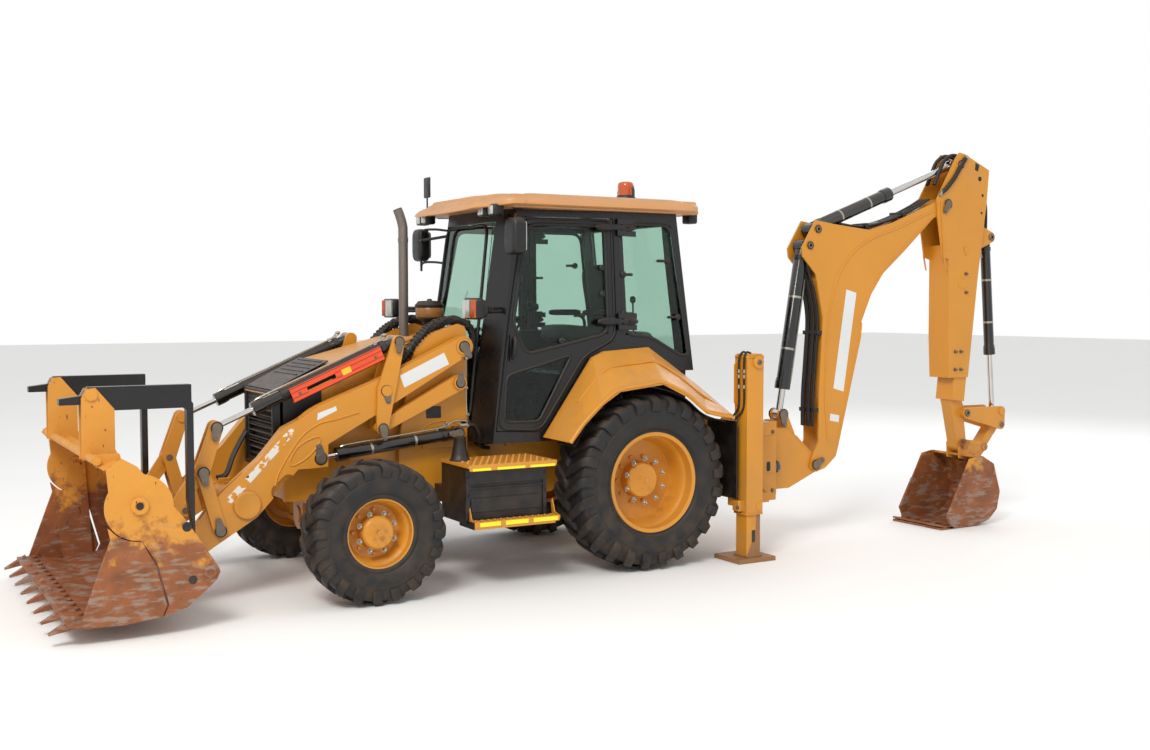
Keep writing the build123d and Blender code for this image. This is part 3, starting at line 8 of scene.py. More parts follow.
import bmesh
import bpy
import numpy as np
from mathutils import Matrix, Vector

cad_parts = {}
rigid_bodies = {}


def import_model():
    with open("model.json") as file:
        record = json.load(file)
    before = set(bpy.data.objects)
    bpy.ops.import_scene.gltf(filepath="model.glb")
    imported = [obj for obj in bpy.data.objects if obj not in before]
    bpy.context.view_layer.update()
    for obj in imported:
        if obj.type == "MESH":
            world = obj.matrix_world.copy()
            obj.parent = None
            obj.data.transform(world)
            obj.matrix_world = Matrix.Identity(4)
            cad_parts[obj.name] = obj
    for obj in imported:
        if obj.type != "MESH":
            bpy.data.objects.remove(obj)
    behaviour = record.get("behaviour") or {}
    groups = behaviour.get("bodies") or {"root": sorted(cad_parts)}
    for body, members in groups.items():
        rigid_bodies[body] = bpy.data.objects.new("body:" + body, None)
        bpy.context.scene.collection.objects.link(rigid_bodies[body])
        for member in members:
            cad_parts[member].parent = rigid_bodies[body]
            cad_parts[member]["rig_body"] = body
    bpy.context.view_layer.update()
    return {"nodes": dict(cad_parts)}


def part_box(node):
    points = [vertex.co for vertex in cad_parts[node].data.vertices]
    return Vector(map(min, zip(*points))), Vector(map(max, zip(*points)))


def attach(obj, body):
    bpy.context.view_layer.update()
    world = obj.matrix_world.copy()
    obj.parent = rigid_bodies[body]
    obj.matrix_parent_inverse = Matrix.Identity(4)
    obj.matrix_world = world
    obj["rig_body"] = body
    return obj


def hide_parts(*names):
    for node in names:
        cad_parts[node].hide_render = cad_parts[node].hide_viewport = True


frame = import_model()
scene = bpy.context.scene

# ------------------------------------------------------------------ stand, light and viewpoint
# The machine stands on a smooth pale floor in a bright studio. Two wide soft lamps and an even sky
# light it, and the eye is a little above the bonnet, off the machine's front left corner.
scene.view_settings.view_transform = "Standard"

LENS = 39.91
EYE = (5.2965, 9.020, 2.020)
TURN, DIP = np.radians(30.28), np.radians(3.165)
camera_data = bpy.data.cameras.new("viewpoint")
camera_data.lens, camera_data.sensor_width = LENS, 36.0
camera_data.clip_end = 200.0
camera = bpy.data.objects.new("viewpoint", camera_data)
look = Vector((-np.sin(TURN) * np.cos(DIP), -np.cos(TURN) * np.cos(DIP), -np.sin(DIP)))
camera.location = EYE
camera.rotation_euler = look.to_track_quat("-Z", "Y").to_euler()
scene.collection.objects.link(camera)
scene.camera = camera


def wide_lamp(name, place, aim, width, height, watts, colour):
    """Soft rectangular lamp at a place, turned towards a point."""
    data = bpy.data.lights.new(name, "AREA")
    data.shape, data.size, data.size_y = "RECTANGLE", width, height
    data.energy, data.color = watts, colour
    lamp = bpy.data.objects.new(name, data)
    lamp.location = place
    lamp.rotation_euler = (Vector(aim) - Vector(place)).to_track_quat("-Z", "Y").to_euler()
    scene.collection.objects.link(lamp)


wide_lamp("key_lamp", (9.0, 9.0, 11.0), (0, 0, 1.0), 5.0, 3.5, 1300.0, (1.0, 0.975, 0.93))
wide_lamp("rear_lamp", (-11.0, -4.0, 8.0), (0, 0, 1.2), 7.0, 5.0, 300.0, (0.96, 0.98, 1.0))


class Recipe:
    """Node tree of one finish, with short calls for the patterns that the finishes share."""

    def __init__(self, name):
        self.material = bpy.data.materials.new(name)
        self.material.use_nodes = True
        self.tree = self.material.node_tree
        self.shader = self.tree.nodes["Principled BSDF"]
        self.place = self.add("ShaderNodeTexCoord").outputs["Object"]

    def add(self, kind, settings=None, **sockets):
        """New node: settings are its own options; each socket gets a value or the output that feeds it."""
        node = self.tree.nodes.new(kind)
        for key, value in (settings or {}).items():
            setattr(node, key, value)
        for key, value in sockets.items():
            numbered = key[0] == "i" and key[1:].isdigit()
            socket = node.inputs[int(key[1:]) if numbered else key.replace("_", " ")]
            if isinstance(value, bpy.types.NodeSocket):
                self.tree.links.new(value, socket)
            else:
                socket.default_value = value
        return node

    def grain(self, size, detail=3.0, stretch=(1, 1, 1), rough=0.55, shift=0.0):
        """Noise from 0 to 1 in blotches of about size metres, longer along axes with a stretch over 1."""
        scale = tuple(1.0 / (size * s) for s in stretch)
        mapped = self.add("ShaderNodeMapping", Vector=self.place, Scale=scale,
                Location=(shift, shift, shift))
        return self.add("ShaderNodeTexNoise", Vector=mapped.outputs[0], Scale=1.0, Detail=detail,
                        Roughness=rough).outputs["Fac"]

    def math(self, kind, a, b=0.0, clamp=False):
        """One sum of two values."""
        return self.add("ShaderNodeMath", {"operation": kind, "use_clamp": clamp}, i0=a, i1=b).outputs[0]

    def step(self, value, low, high, out_low=0.0, out_high=1.0):
        """Value spread from low..high to out_low..out_high, and held at the ends."""
        return self.add("ShaderNodeMapRange", i0=value, i1=low, i2=high, i3=out_low, i4=out_high).outputs[0]

    def mix(self, amount, first, second):
        """Colour between two colours."""
        node = self.add("ShaderNodeMix", {"data_type": "RGBA"}, i0=amount, i6=first, i7=second)
        return node.outputs[2]

    def height(self):
        """Height above the ground."""
        return self.add("ShaderNodeSeparateXYZ", Vector=self.place).outputs["Z"]

    def facing_up(self):
        """1 on faces that look at the sky, 0 on upright ones and below."""
        normal = self.add("ShaderNodeNewGeometry").outputs["Normal"]
        upward = self.add("ShaderNodeSeparateXYZ", Vector=normal).outputs["Z"]
        return self.step(upward, 0.15, 0.85)

    def relief(self, *layers):
        """Bump from (value, depth in metres) layers, the finest last."""
        normal = None
        for value, depth in layers:
            node = self.add("ShaderNodeBump", Height=value, Distance=depth, Strength=1.0)
            if normal is not None:
                self.tree.links.new(normal, node.inputs["Normal"])
            normal = node.outputs[0]
        self.tree.links.new(normal, self.shader.inputs["Normal"])

    def wear(self, colour, roughness):
        """Feeds the shader's colour and roughness."""
        self.tree.links.new(colour, self.shader.inputs["Base Color"])
        self.tree.links.new(roughness, self.shader.inputs["Roughness"])

    def plain(self, **sockets):
        """Values that are the same all over."""
        for key, value in sockets.items():
            self.shader.inputs[key.replace("_", " ")].default_value = value


def tint(red, green, blue):
    """Colour from 0..255 screen values."""
    screen = np.array([red, green, blue]) / 255.0
    linear = np.where(screen <= 0.04045, screen / 12.92, ((screen + 0.055) / 1.055) ** 2.4)
    return (*linear.tolist(), 1.0)


floor_paint = Recipe("floor_paint")
floor_shade = floor_paint.mix(floor_paint.grain(1.5), tint(247, 247, 246), tint(251, 251, 250))
floor_paint.wear(floor_shade, floor_paint.step(floor_paint.grain(0.3), 0, 1, 0.75, 0.9))
floor_paint.relief((floor_paint.grain(0.01), 0.0003))
floor_paint.plain(Specular_IOR_Level=0.1)

floor_mesh = bpy.data.meshes.new("studio_floor")
reach = np.linspace(-60.0, 60.0, 7)
floor_grid = np.stack(np.broadcast_arrays(reach[:, None], reach[None, :], np.zeros((7, 7))), -1)
cell = np.arange(49).reshape(7, 7)
floor_cells = np.stack([cell[:-1, :-1], cell[1:, :-1], cell[1:, 1:], cell[:-1, 1:]], -1).reshape(-1, 4)
floor_mesh.from_pydata(floor_grid.reshape(-1, 3).tolist(), [], floor_cells.tolist())
floor_mesh.materials.append(floor_paint.material)
studio_floor = bpy.data.objects.new("studio_floor", floor_mesh)
scene.collection.objects.link(studio_floor)

sky = bpy.data.worlds.new("studio_sky")
scene.world = sky
sky.use_nodes = True
sky_nodes, sky_links = sky.node_tree.nodes, sky.node_tree.links
rays = sky_nodes.new("ShaderNodeLightPath")
seen = sky_nodes.new("ShaderNodeMath")
seen.operation = "MAXIMUM"
sky_links.new(rays.outputs["Is Camera Ray"], seen.inputs[0])
seen_through = sky_nodes.new("ShaderNodeMath")
seen_through.operation = "MAXIMUM"
sky_links.new(rays.outputs["Is Transmission Ray"], seen_through.inputs[0])
mirrored = sky_nodes.new("ShaderNodeMath")
mirrored.operation = "MULTIPLY"
mirrored.inputs[1].default_value = 0.9
sky_links.new(rays.outputs["Is Glossy Ray"], mirrored.inputs[0])
sky_links.new(mirrored.outputs[0], seen_through.inputs[1])
sky_links.new(seen_through.outputs[0], seen.inputs[1])
strength = sky_nodes.new("ShaderNodeMapRange")
strength.inputs["To Min"].default_value = 0.78
strength.inputs["To Max"].default_value = 1.0
sky_links.new(seen.outputs[0], strength.inputs["Value"])
sky_links.new(strength.outputs[0], sky_nodes["Background"].inputs["Strength"])
sky_nodes["Background"].inputs["Color"].default_value = (1.0, 1.0, 1.0, 1.0)

# ------------------------------------------------------------------ main frame, loader tower, axles
# Thick steel plate, flame cut, welded, and sprayed yellow. Dust settles on what faces up and on
# what is near the ground, and the paint is chipped to dark steel in small specks.
wheel_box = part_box("rear_rim_left")
rear_axle_x = (wheel_box[0][0] + wheel_box[1][0]) / 2

DUST = tint(150, 118, 84)


def painted_steel(name, colour, dirt=0.35, chips=0.62, gloss=0.36):
    """Sprayed steel: blotchy colour, dust by height and on top faces, fine scratches and chips."""
    coat = Recipe(name)
    dark, light = [(*(np.array(colour[:3]) * k).tolist(), 1.0) for k in (0.86, 1.06)]
    paint = coat.mix(coat.grain(0.55, 4), dark, light)
    low = coat.step(coat.height(), 1.3, 0.25, 0.04, dirt)
    film = coat.math("MULTIPLY", low, coat.step(coat.grain(0.16, 6), 0.35, 0.75), clamp=True)
    top = coat.math("MULTIPLY", coat.facing_up(), coat.step(coat.grain(0.08, 5, shift=3.0), 0.3, 0.8, 0.05,
            0.4))
    film = coat.math("MAXIMUM", film, top)
    paint = coat.mix(film, paint, DUST)
    scratch = coat.step(coat.grain(0.0035, 2, stretch=(60, 60, 1), shift=7.0), 0.70, 0.76)
    scratch = coat.math("MULTIPLY", scratch, coat.step(coat.grain(0.3, 2), 0.45, 0.65, 0.0, 0.6))
    paint = coat.mix(scratch, paint, (*(np.array(colour[:3]) * 0.45).tolist(), 1.0))
    speck = coat.step(coat.grain(0.018, 5, shift=11.0), chips + 0.10, chips + 0.14)
    speck = coat.math("MULTIPLY", speck, coat.step(coat.grain(0.4, 3, shift=5.0), 0.5, 0.6))
    paint = coat.mix(speck, paint, tint(62, 44, 34))
    rough = coat.math("ADD", coat.step(coat.grain(0.12, 4), 0, 1, gloss - 0.06, gloss + 0.10),
                      coat.math("MULTIPLY", film, 0.45), clamp=True)
    coat.wear(paint, rough)
    coat.relief((coat.grain(0.22, 3), 0.0012), (coat.grain(0.0035, 2), 0.00016),
            (coat.math("SUBTRACT", 1.0, speck), 0.0004))
    coat.plain(Coat_Weight=0.12, Coat_Roughness=0.2)
    return coat.material


YELLOW = tint(212, 142, 36)
body_yellow = painted_steel("body_yellow", YELLOW)


def paint_node(node, material):
    """Gives a CAD node its finish."""
    mesh = frame["nodes"][node].data
    mesh.materials.clear()
    mesh.materials.append(material)


def softened(node, edge=0.004, body=None, angle=30.0):
    """The node's own shape with its edges rounded to a radius, standing for the node."""
    source = frame["nodes"][node]
    mesh = source.data.copy()
    mesh.name = node + "_dressed"
    shape = bmesh.new()
    shape.from_mesh(mesh)
    bmesh.ops.remove_doubles(shape, verts=shape.verts, dist=0.00002)
    bmesh.ops.dissolve_limit(shape, angle_limit=np.radians(0.6), verts=shape.verts, edges=shape.edges)
    shape.to_mesh(mesh)
    shape.free()
    mesh.shade_smooth()
    mesh.set_sharp_from_angle(angle=np.radians(angle))
    made = bpy.data.objects.new(node + "_dressed", mesh)
    scene.collection.objects.link(made)
    rounding = made.modifiers.new("rounded_edges", "BEVEL")
    rounding.width, rounding.segments, rounding.limit_method = edge, 2, "ANGLE"
    rounding.angle_limit = np.radians(angle)
    rounding.harden_normals = True
    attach(made, source["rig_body"] if body is None else body)
    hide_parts(node)
    return made


dressed = {}


def dress(nodes, finish=body_yellow):
    """Gives each node its finish, and rounds the edges of those with a radius in metres."""
    for node, edge in nodes.items():
        paint_node(node, finish)
        if edge:
            dressed[node] = softened(node, edge)


def dusty(name, colour, dust=0.3, rough=(0.35, 0.6), grit=0.004, depth=0.0002, **shader):
    """Dark or bare surface: mottled colour, dust on top faces and in blotches, fine grit in the surface."""
    coat = Recipe(name)
    dark, light = [(*(np.array(colour[:3]) * k).tolist(), 1.0) for k in (0.8, 1.15)]
    paint = coat.mix(coat.grain(0.12, 4), dark, light)
    film = coat.math("MULTIPLY", coat.facing_up(), coat.step(coat.grain(0.07, 5), 0.3, 0.75, 0.1, dust),
            clamp=True)
    low = coat.math("MULTIPLY", coat.step(coat.height(), 1.4, 0.1, 0.0, dust),
            coat.step(coat.grain(0.1, 5), 0.4, 0.7))
    film = coat.math("MAXIMUM", film, low)
    coat.wear(coat.mix(film, paint, DUST), coat.step(coat.grain(0.05, 4), 0.2, 0.8, *rough))
    coat.relief((coat.grain(0.06, 3), depth * 3), (coat.grain(grit, 3), depth))
    coat.plain(**shader)
    return coat.material


engine_iron = dusty("engine_iron", tint(58, 52, 47), 0.5, (0.5, 0.8))
dress({"chassis_frame": 0.005, "axles": 0.006, "steering_knuckle_left": 0.006,
        "steering_knuckle_right": 0.006})
dress({"engine_block": None}, engine_iron)


# ------------------------------------------------------------------ wheels
# Cross-ply tyres: a smooth casing with a bead roll, and thick angled rubber bars moulded on the tread
# from its middle over each shoulder, left and right staggered. Each hides its rim's bead seat.
def skin(grid, around=True, ends=True):
    """Outward faces over a grid, rows along the piece and columns round it, ends closed flat."""
    rows, columns = grid.shape[:2]
    index = np.arange(rows * columns).reshape(rows, columns)
    ahead = np.roll(index, -1, 1) if around else index[:, 1:]
    here = index if around else index[:, :-1]
    quads = np.stack([here[:-1], ahead[:-1], ahead[1:], here[1:]], -1).reshape(-1, 4)
    faces = quads.tolist()
    points = grid.reshape(-1, 3).astype(float)
    if around and ends:
        faces += [index[0][::-1].tolist(), index[-1].tolist()]
        centre = points.mean(0)
        a, b, c, d = (points[quads[:, k]] - centre for k in range(4))
        volume = np.einsum("ij,ij->", a, np.cross(b, c)) + np.einsum("ij,ij->", a, np.cross(c, d))
        for ring, way in ((grid[0], -1), (grid[-1], 1)):
            ring = ring - centre
            volume += way * np.einsum("ij,ij->", np.broadcast_to(ring.mean(0), ring.shape),
                    np.cross(ring, np.roll(ring, -1, 0)))
        if volume < 0:
            faces = [face[::-1] for face in faces]
    return points, faces


def piece(name, skins, material, body, crease=35.0):
    """One object from several skins, riding on a CAD body; edges sharper than crease stay sharp."""
    points, faces, start = [], [], 0
    for some_points, some_faces in skins:
        points.append(some_points)
        faces += [[start + k for k in face] for face in some_faces]
        start += len(some_points)
    points = np.concatenate(points)
    points[:, 0] += rear_axle_x
    mesh = bpy.data.meshes.new(name)
    mesh.from_pydata(points.tolist(), [], faces)
    mesh.materials.append(material)
    mesh.shade_smooth()
    mesh.set_sharp_from_angle(angle=np.radians(crease))
    made = bpy.data.objects.new(name, mesh)
    scene.collection.objects.link(made)
    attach(made, body)
    return made


def turned(profile, centre, axis=(0, 1, 0), sides=40, closed=False):
    """Surface of revolution: each (distance along the axis, radius) of the profile becomes a ring."""
    axis = np.array(axis, float) / np.linalg.norm(axis)
    first = np.cross(axis, (0, 0, 1) if abs(axis[2]) < 0.9 else (1, 0, 0))
    first /= np.linalg.norm(first)
    second = np.cross(axis, first)
    turn = np.linspace(0, 2 * np.pi, sides, endpoint=False)
    along, radius = np.array(profile, float).T
    spoke = np.cos(turn)[:, None] * first + np.sin(turn)[:, None] * second
    grid = np.array(centre) + along[:, None, None] * axis + radius[:, None, None] * spoke
    if closed:
        return looped(grid)
    return skin(grid)


def looped(grid):
    """Faces over a grid that closes on itself both ways, like a ring; outward faces."""
    rows, columns = grid.shape[:2]
    index = np.arange(rows * columns).reshape(rows, columns)
    ahead, below = np.roll(index, -1, 1), np.roll(index, -1, 0)
    quads = np.stack([index, ahead, np.roll(below, -1, 1), below], -1).reshape(-1, 4)
    points = grid.reshape(-1, 3).astype(float)
    a, b, c, d = (points[quads[:, k]] - points.mean(0) for k in range(4))
    volume = np.einsum("ij,ij->", a, np.cross(b, c)) + np.einsum("ij,ij->", a, np.cross(c, d))
    if volume < 0:
        quads = quads[:, ::-1]
    return points, quads.tolist()


def eased(points, steps=8):
    """Catmull-Rom curve through the points, with so many steps between each two."""
    p = np.array(points, float)
    p = np.vstack([2 * p[0] - p[1], p, 2 * p[-1] - p[-2]])
    t = np.linspace(0, 1, steps, endpoint=False)[:, None]
    parts = []
    for a, b, c, d in zip(p[:-3], p[1:-2], p[2:-1], p[3:]):
        parts.append(0.5 * (2 * b + (c - a) * t + (2 * a - 5 * b + 4 * c - d) * t**2
                + (3 * b - a - 3 * c + d) * t**3))
    return np.vstack(parts + [p[-2][None]])


def bolt(place, axis=(0, 1, 0), across=0.011, tall=0.009):
    """Hexagon head on a washer, its top slightly crowned."""
    washer = turned([(0, across * 1.35), (0.002, across * 1.35)], place, axis, 16)
    head = turned([(0.001, across), (tall * 0.8, across), (tall, across * 0.8)], place, axis, 6)
    return [washer, head]


tyre_rubber = dusty("tyre_rubber", tint(22, 22, 23), 0.16, (0.5, 0.75), 0.006, 0.0005)
bright_zinc = dusty("bright_zinc", tint(176, 172, 160), 0.15, (0.2, 0.4), 0.006, 0.0001, Metallic=0.9)
dress({"front_rim_left": 0.003, "front_rim_right": 0.003, "rear_rim_left": 0.003, "rear_rim_right": 0.003})
dress({"front_tyre_left": None, "front_tyre_right": None, "rear_tyre_left": None, "rear_tyre_right": None},
        tyre_rubber)


def lugged_tyre(node, rim_r, lug_h, count, body):
    """Casing turned from its section, and bars whose rows follow it while they run round the tread."""
    low, high = (np.array(corner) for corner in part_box(node))
    centre = (low + high) / 2 - (rear_axle_x, 0, 0)
    radius, half = (high[2] - low[2]) / 2, (high[1] - low[1]) / 2
    crown = radius - lug_h
    wall = crown - rim_r
    side = [(0.84, rim_r - 0.004), (0.88, rim_r + 0.012), (0.86, rim_r + 0.03), (0.93, rim_r + wall * 0.2),
            (0.975, rim_r + wall * 0.42), (0.965, rim_r + wall * 0.62), (0.90, rim_r + wall * 0.84),
            (0.78, crown - 0.008), (0.40, crown - 0.002), (0.0, crown)]
    section = eased(side + [(-a, r) for a, r in side[-2::-1]], 5) * (half, 1.0)
    skins = [turned(section, centre, (0, 1, 0), 96, closed=True)]
    # ribs and a raised ring on each side wall
    for flank in (-1, 1):
        for share, proud in ((0.17, 0.90), (0.56, 0.957)):
            ring = [(flank * half * proud, rim_r + wall * share - 0.006),
                    (flank * half * (proud + 0.03), rim_r + wall * share),
                    (flank * half * proud, rim_r + wall * share + 0.006),
                    (flank * half * (proud - 0.05), rim_r + wall * share)]
            skins.append(turned(ring, centre, (0, 1, 0), 96, closed=True))
    path = eased([(-0.03, crown), (0.25, crown - 0.003), (0.55, crown - 0.006), (0.76, crown - 0.012),
                  (0.90, crown - 0.045), (0.965, crown - wall * 0.36)], 4) * (half, 1.0)
    slope = np.gradient(path, axis=0)
    slope /= np.linalg.norm(slope, axis=1)[:, None]
    outward = np.stack([-slope[:, 1], slope[:, 0]], -1)
    share = np.linspace(0, 1, len(path))
    pitch = 2 * np.pi / count
    bulk = 1 - 0.75 * np.clip((share - 0.62) / 0.38, 0, 1) ** 2
    thick = lug_h * bulk * np.clip(share / 0.05 + 0.55, 0, 1)
    across = pitch * radius * (0.46 + 0.12 * share)
    outline = np.array([(-0.5, -0.5), (-0.46, 0.55), (-0.40, 0.93), (-0.30, 1.0), (0.30, 1.0), (0.40, 0.93),
            (0.46, 0.55), (0.5, -0.5)])
    for flank in (-1, 1):
        start = np.arange(count) * pitch + (pitch / 2 if flank > 0 else 0.0)
        turn = start[:, None] + 1.05 * pitch * np.minimum(share, 0.72)[None, :] ** 0.9
        lift = thick[:, None] * outline[None, :, 1]
        at = path[:, None, :] + outward[:, None, :] * lift[:, :, None]
        angle = turn[:, :, None] + (across[:, None] * outline[None, :, 0] / radius)[None]
        bars = np.stack([at[None, :, :, 1] * np.cos(angle), np.broadcast_to(flank * at[None, :, :, 0],
                angle.shape), at[None, :, :, 1] * np.sin(angle)], -1) + centre
        skins += [skin(bar) for bar in bars]
    made = piece(node + "_lugged", skins, tyre_rubber, body, 50)
    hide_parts(node)


for side_name in ("left", "right"):
    lugged_tyre("front_tyre_" + side_name, 0.240, 0.028, 20, "front_wheel_" + side_name)
    lugged_tyre("rear_tyre_" + side_name, 0.366, 0.036, 25, "rear_wheel_" + side_name)

# Wheel nuts of plated steel on studs, eight in front and ten behind, and the hub's screws and plug.
for side_name, flank in (("left", 1), ("right", -1)):
    for axle, x, z, track, nuts, ring, face, hub in (("front", 2.210, 0.490, 0.945, 8, 0.132, 0.062, 0.128),
            ("rear", 0.0, 0.676, 0.857, 10, 0.170, 0.062, 0.10)):
        skins = []
        for k in range(nuts):
            turn = 2 * np.pi * (k + 0.5) / nuts
            place = (x + ring * np.cos(turn), flank * (track + face - 0.002), z + ring * np.sin(turn))
            skins += bolt(place, (0, flank, 0), 0.014, 0.016)
            skins.append(turned([(0.0, 0.008), (0.028, 0.008), (0.030, 0.006)], place, (0, flank, 0), 12))
        piece(f"{axle}_nuts_{side_name}", skins, bright_zinc, f"{axle}_wheel_{side_name}")
        skins = []
        for k in range(6 if axle == "front" else 8):
            turn = 2 * np.pi * k / (6 if axle == "front" else 8)
            reach = 0.055 if axle == "front" else 0.07
            skins += bolt((x + reach * np.cos(turn), flank * (track + hub - 0.002),
                    z + reach * np.sin(turn)), (0, flank, 0), 0.007, 0.006)
        skins.append(turned([(-0.002, 0.02), (0.006, 0.02), (0.008, 0.016), (0.008, 0.009), (0.004, 0.007)],
                            (x, flank * (track + hub), z), (0, flank, 0), 20))
        piece(f"{axle}_hub_{side_name}", skins, body_yellow, f"{axle}_wheel_{side_name}")

# ------------------------------------------------------------------ hood, stack and air intake
# A pressed sheet steel hood. Its nose is a black moulded shroud with a louvred grille of thin bent
# slats, and a black mat panel lies on the lid behind the nose.
def along(path, radius, sides=10, flat=1.0, closed=False):
    """Round or flattened section swept along a path, its frame carried on without twist."""
    path = np.array(path, float)
    ahead = np.gradient(path, axis=0)
    if closed:
        ahead = np.roll(path, -1, 0) - np.roll(path, 1, 0)
    ahead /= np.linalg.norm(ahead, axis=1)[:, None]
    first = np.cross(ahead[0], (0, 1, 0) if abs(ahead[0][1]) < 0.9 else (0, 0, 1))
    sideways = []
    for heading in ahead:
        first = first - heading * np.dot(first, heading)
        first /= np.linalg.norm(first)
        sideways.append(first)
    sideways = np.array(sideways)
    upward = np.cross(ahead, sideways)
    turn = np.linspace(0, 2 * np.pi, sides, endpoint=False)
    radius = np.broadcast_to(np.array(radius, float), len(path))[:, None, None]
    ring = np.cos(turn)[None, :, None] * sideways[:, None]
    ring = ring + flat * np.sin(turn)[None, :, None] * upward[:, None]
    grid = path[:, None] + radius * ring
    return looped(grid) if closed else skin(grid)


def slab(outline, low, high, edge=0.003, axis="y"):
    """Flat plate from an outline in the plane across the axis, its rim eased by an inset at both faces."""
    outline = np.array(outline, float)
    ahead = np.roll(outline, -1, 0) - outline
    ahead /= np.linalg.norm(ahead, axis=1)[:, None] + 1e-12
    back = np.roll(ahead, 1, 0)
    inward = np.stack([-(ahead + back)[:, 1], (ahead + back)[:, 0]], -1)
    inward /= np.linalg.norm(inward, axis=1)[:, None] + 1e-12
    x, y = outline.T
    if np.sum(x * np.roll(y, -1) - y * np.roll(x, -1)) < 0:
        inward = -inward
    small = outline + inward * edge
    low, high = min(low, high), max(low, high)
    rings = [(small, low), (outline, low + edge), (outline, high - edge), (small, high)]
    order = {"y": (0, 2, 1), "x": (1, 2, 0), "z": (0, 1, 2)}[axis]
    grid = np.zeros((4, len(outline), 3))
    for row, (ring, level) in enumerate(rings):
        grid[row, :, order[0]] = ring[:, 0]
        grid[row, :, order[1]] = ring[:, 1]
        grid[row, :, order[2]] = level
    return skin(grid)


def round_box(centre, size, edge=0.01, axis="y"):
    """Box with rounded corners in the plane across the axis and an eased rim."""
    order = {"y": (0, 2, 1), "x": (1, 2, 0), "z": (0, 1, 2)}[axis]
    wide, tall, deep = (size[k] / 2 for k in order)
    turn = np.linspace(0, 2 * np.pi, 20, endpoint=False) + np.pi / 20
    corner = np.stack([np.sign(np.cos(turn)) * (wide - edge) + edge * np.cos(turn),
                       np.sign(np.sin(turn)) * (tall - edge) + edge * np.sin(turn)], -1)
    corner += (centre[order[0]], centre[order[1]])
    return slab(corner, centre[order[2]] - deep, centre[order[2]] + deep, min(edge * 0.6, deep * 0.5), axis)


stack_metal = dusty("stack_metal", tint(120, 112, 106), 0.3, (0.4, 0.65), 0.006, 0.0003, Metallic=0.6)
black_plastic = dusty("black_plastic", tint(15, 15, 16), 0.14, (0.35, 0.55), 0.0025, 0.00012)
dress({"hood_body": 0.012, "hood_lid": 0.01})
dress({"exhaust_stack": None}, stack_metal)
dress({"air_precleaner": None}, black_plastic)
nose = []
for level in np.linspace(0.895, 1.385, 13):
    slat = np.array([(2.655, level - 0.010), (2.700, level + 0.012), (2.703, level + 0.008),
            (2.658, level - 0.015)])
    nose.append(slab(slat, -0.315, 0.315, 0.001))
for flank in (-1, 1):
    nose.append(round_box((2.685, flank * 0.334, 1.135), (0.060, 0.032, 0.56), 0.012, "x"))
    nose.append(slab([(2.36, 1.42), (2.36, 1.02), (2.66, 0.96), (2.66, 1.36)], flank * 0.337, flank * 0.345,
            0.003))
nose.append(round_box((2.685, 0, 1.402), (0.060, 0.69, 0.034), 0.012, "x"))
nose.append(round_box((2.685, 0, 0.872), (0.060, 0.69, 0.030), 0.012, "x"))
nose.append(slab([(2.648, 0.87), (2.648, 1.40), (2.652, 1.40), (2.652, 0.87)], -0.32, 0.32, 0.001))
piece("nose_shroud", nose, black_plastic, "chassis")

cover = []
for x0, z0, x1, z1 in ((2.30, 1.617, 2.565, 1.490), (2.565, 1.490, 2.70, 1.420)):
    rise = np.array([z0 - z1, x1 - x0]) / np.hypot(z0 - z1, x1 - x0)
    line = np.array([(x0, z0), (x1, z1)])
    cover.append(slab(np.vstack([line - rise * 0.001, (line + rise * 0.007)[::-1]]), -0.325, 0.325, 0.002))
for k in range(5):
    x = 2.33 + 0.045 * k
    z = 1.617 - (x - 2.30) * 0.479 + 0.008
    cover.append(along([(x, -0.26, z), (x, 0.26, z)], 0.006, 8))
piece("lid_mat", cover, black_plastic, "hood")

# Rolled seams, the lid's edge return and its draw latches, in the hood's own sheet.
seam = []
for flank in (-1, 1):
    seam.append(along(eased([(1.28, flank * 0.333, 1.797), (1.625, flank * 0.333, 1.752),
            (2.28, flank * 0.333, 1.577), (2.63, flank * 0.333, 1.398)], 6), 0.008, 8))
    seam.append(slab([(1.38, 1.60), (1.70, 1.56), (2.20, 1.43), (2.20, 1.30), (1.60, 1.46), (1.38, 1.50)],
                     flank * 0.334, flank * 0.341, 0.004))
piece("hood_pressings", seam, body_yellow, "chassis")
latch = []
for flank in (-1, 1):
    latch.append(round_box((2.25, flank * 0.345, 1.52), (0.05, 0.02, 0.10), 0.006))
    latch.append(turned([(0, 0.012), (0.02, 0.012), (0.022, 0.009)], (2.25, flank * 0.35, 1.55),
            (0, flank, 0), 14))
piece("hood_latches", latch, black_plastic, "chassis")

# Exhaust: rolled tube, its mouth cut at a slant and bent forward a little, on a welded flange.
stack_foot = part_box("exhaust_stack")
stack_y = (stack_foot[0][1] + stack_foot[1][1]) / 2
stack_x = 1.500
path = eased([(stack_x, stack_y, 1.74), (stack_x, stack_y, 2.1), (stack_x, stack_y, 2.55),
        (stack_x + 0.004, stack_y, 2.63), (stack_x + 0.025, stack_y, 2.705),
        (stack_x + 0.045, stack_y, 2.755)], 5)
outer = along(path, 0.037, 24)
ring = [(0, 0.037), (0.001, 0.033), (-0.10, 0.033), (-0.10, 0.001)]
heading = path[-1] - path[-3]
stack = [outer, turned([(0, 0.075), (0.008, 0.075), (0.010, 0.06)], (stack_x, stack_y, 1.765), (0, 0, 1),
        24)]
stack.append(turned([(0, 0.040), (0.035, 0.040)], (stack_x, stack_y, 2.50), (0, 0, 1), 24))
tube = piece("exhaust_pipe", stack, stack_metal, "chassis")
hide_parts("exhaust_stack")
piece("exhaust_soot", [turned([(0.0005, 0.0325), (0.002, 0.032)], path[-1], heading, 24)], black_plastic,
        "chassis")

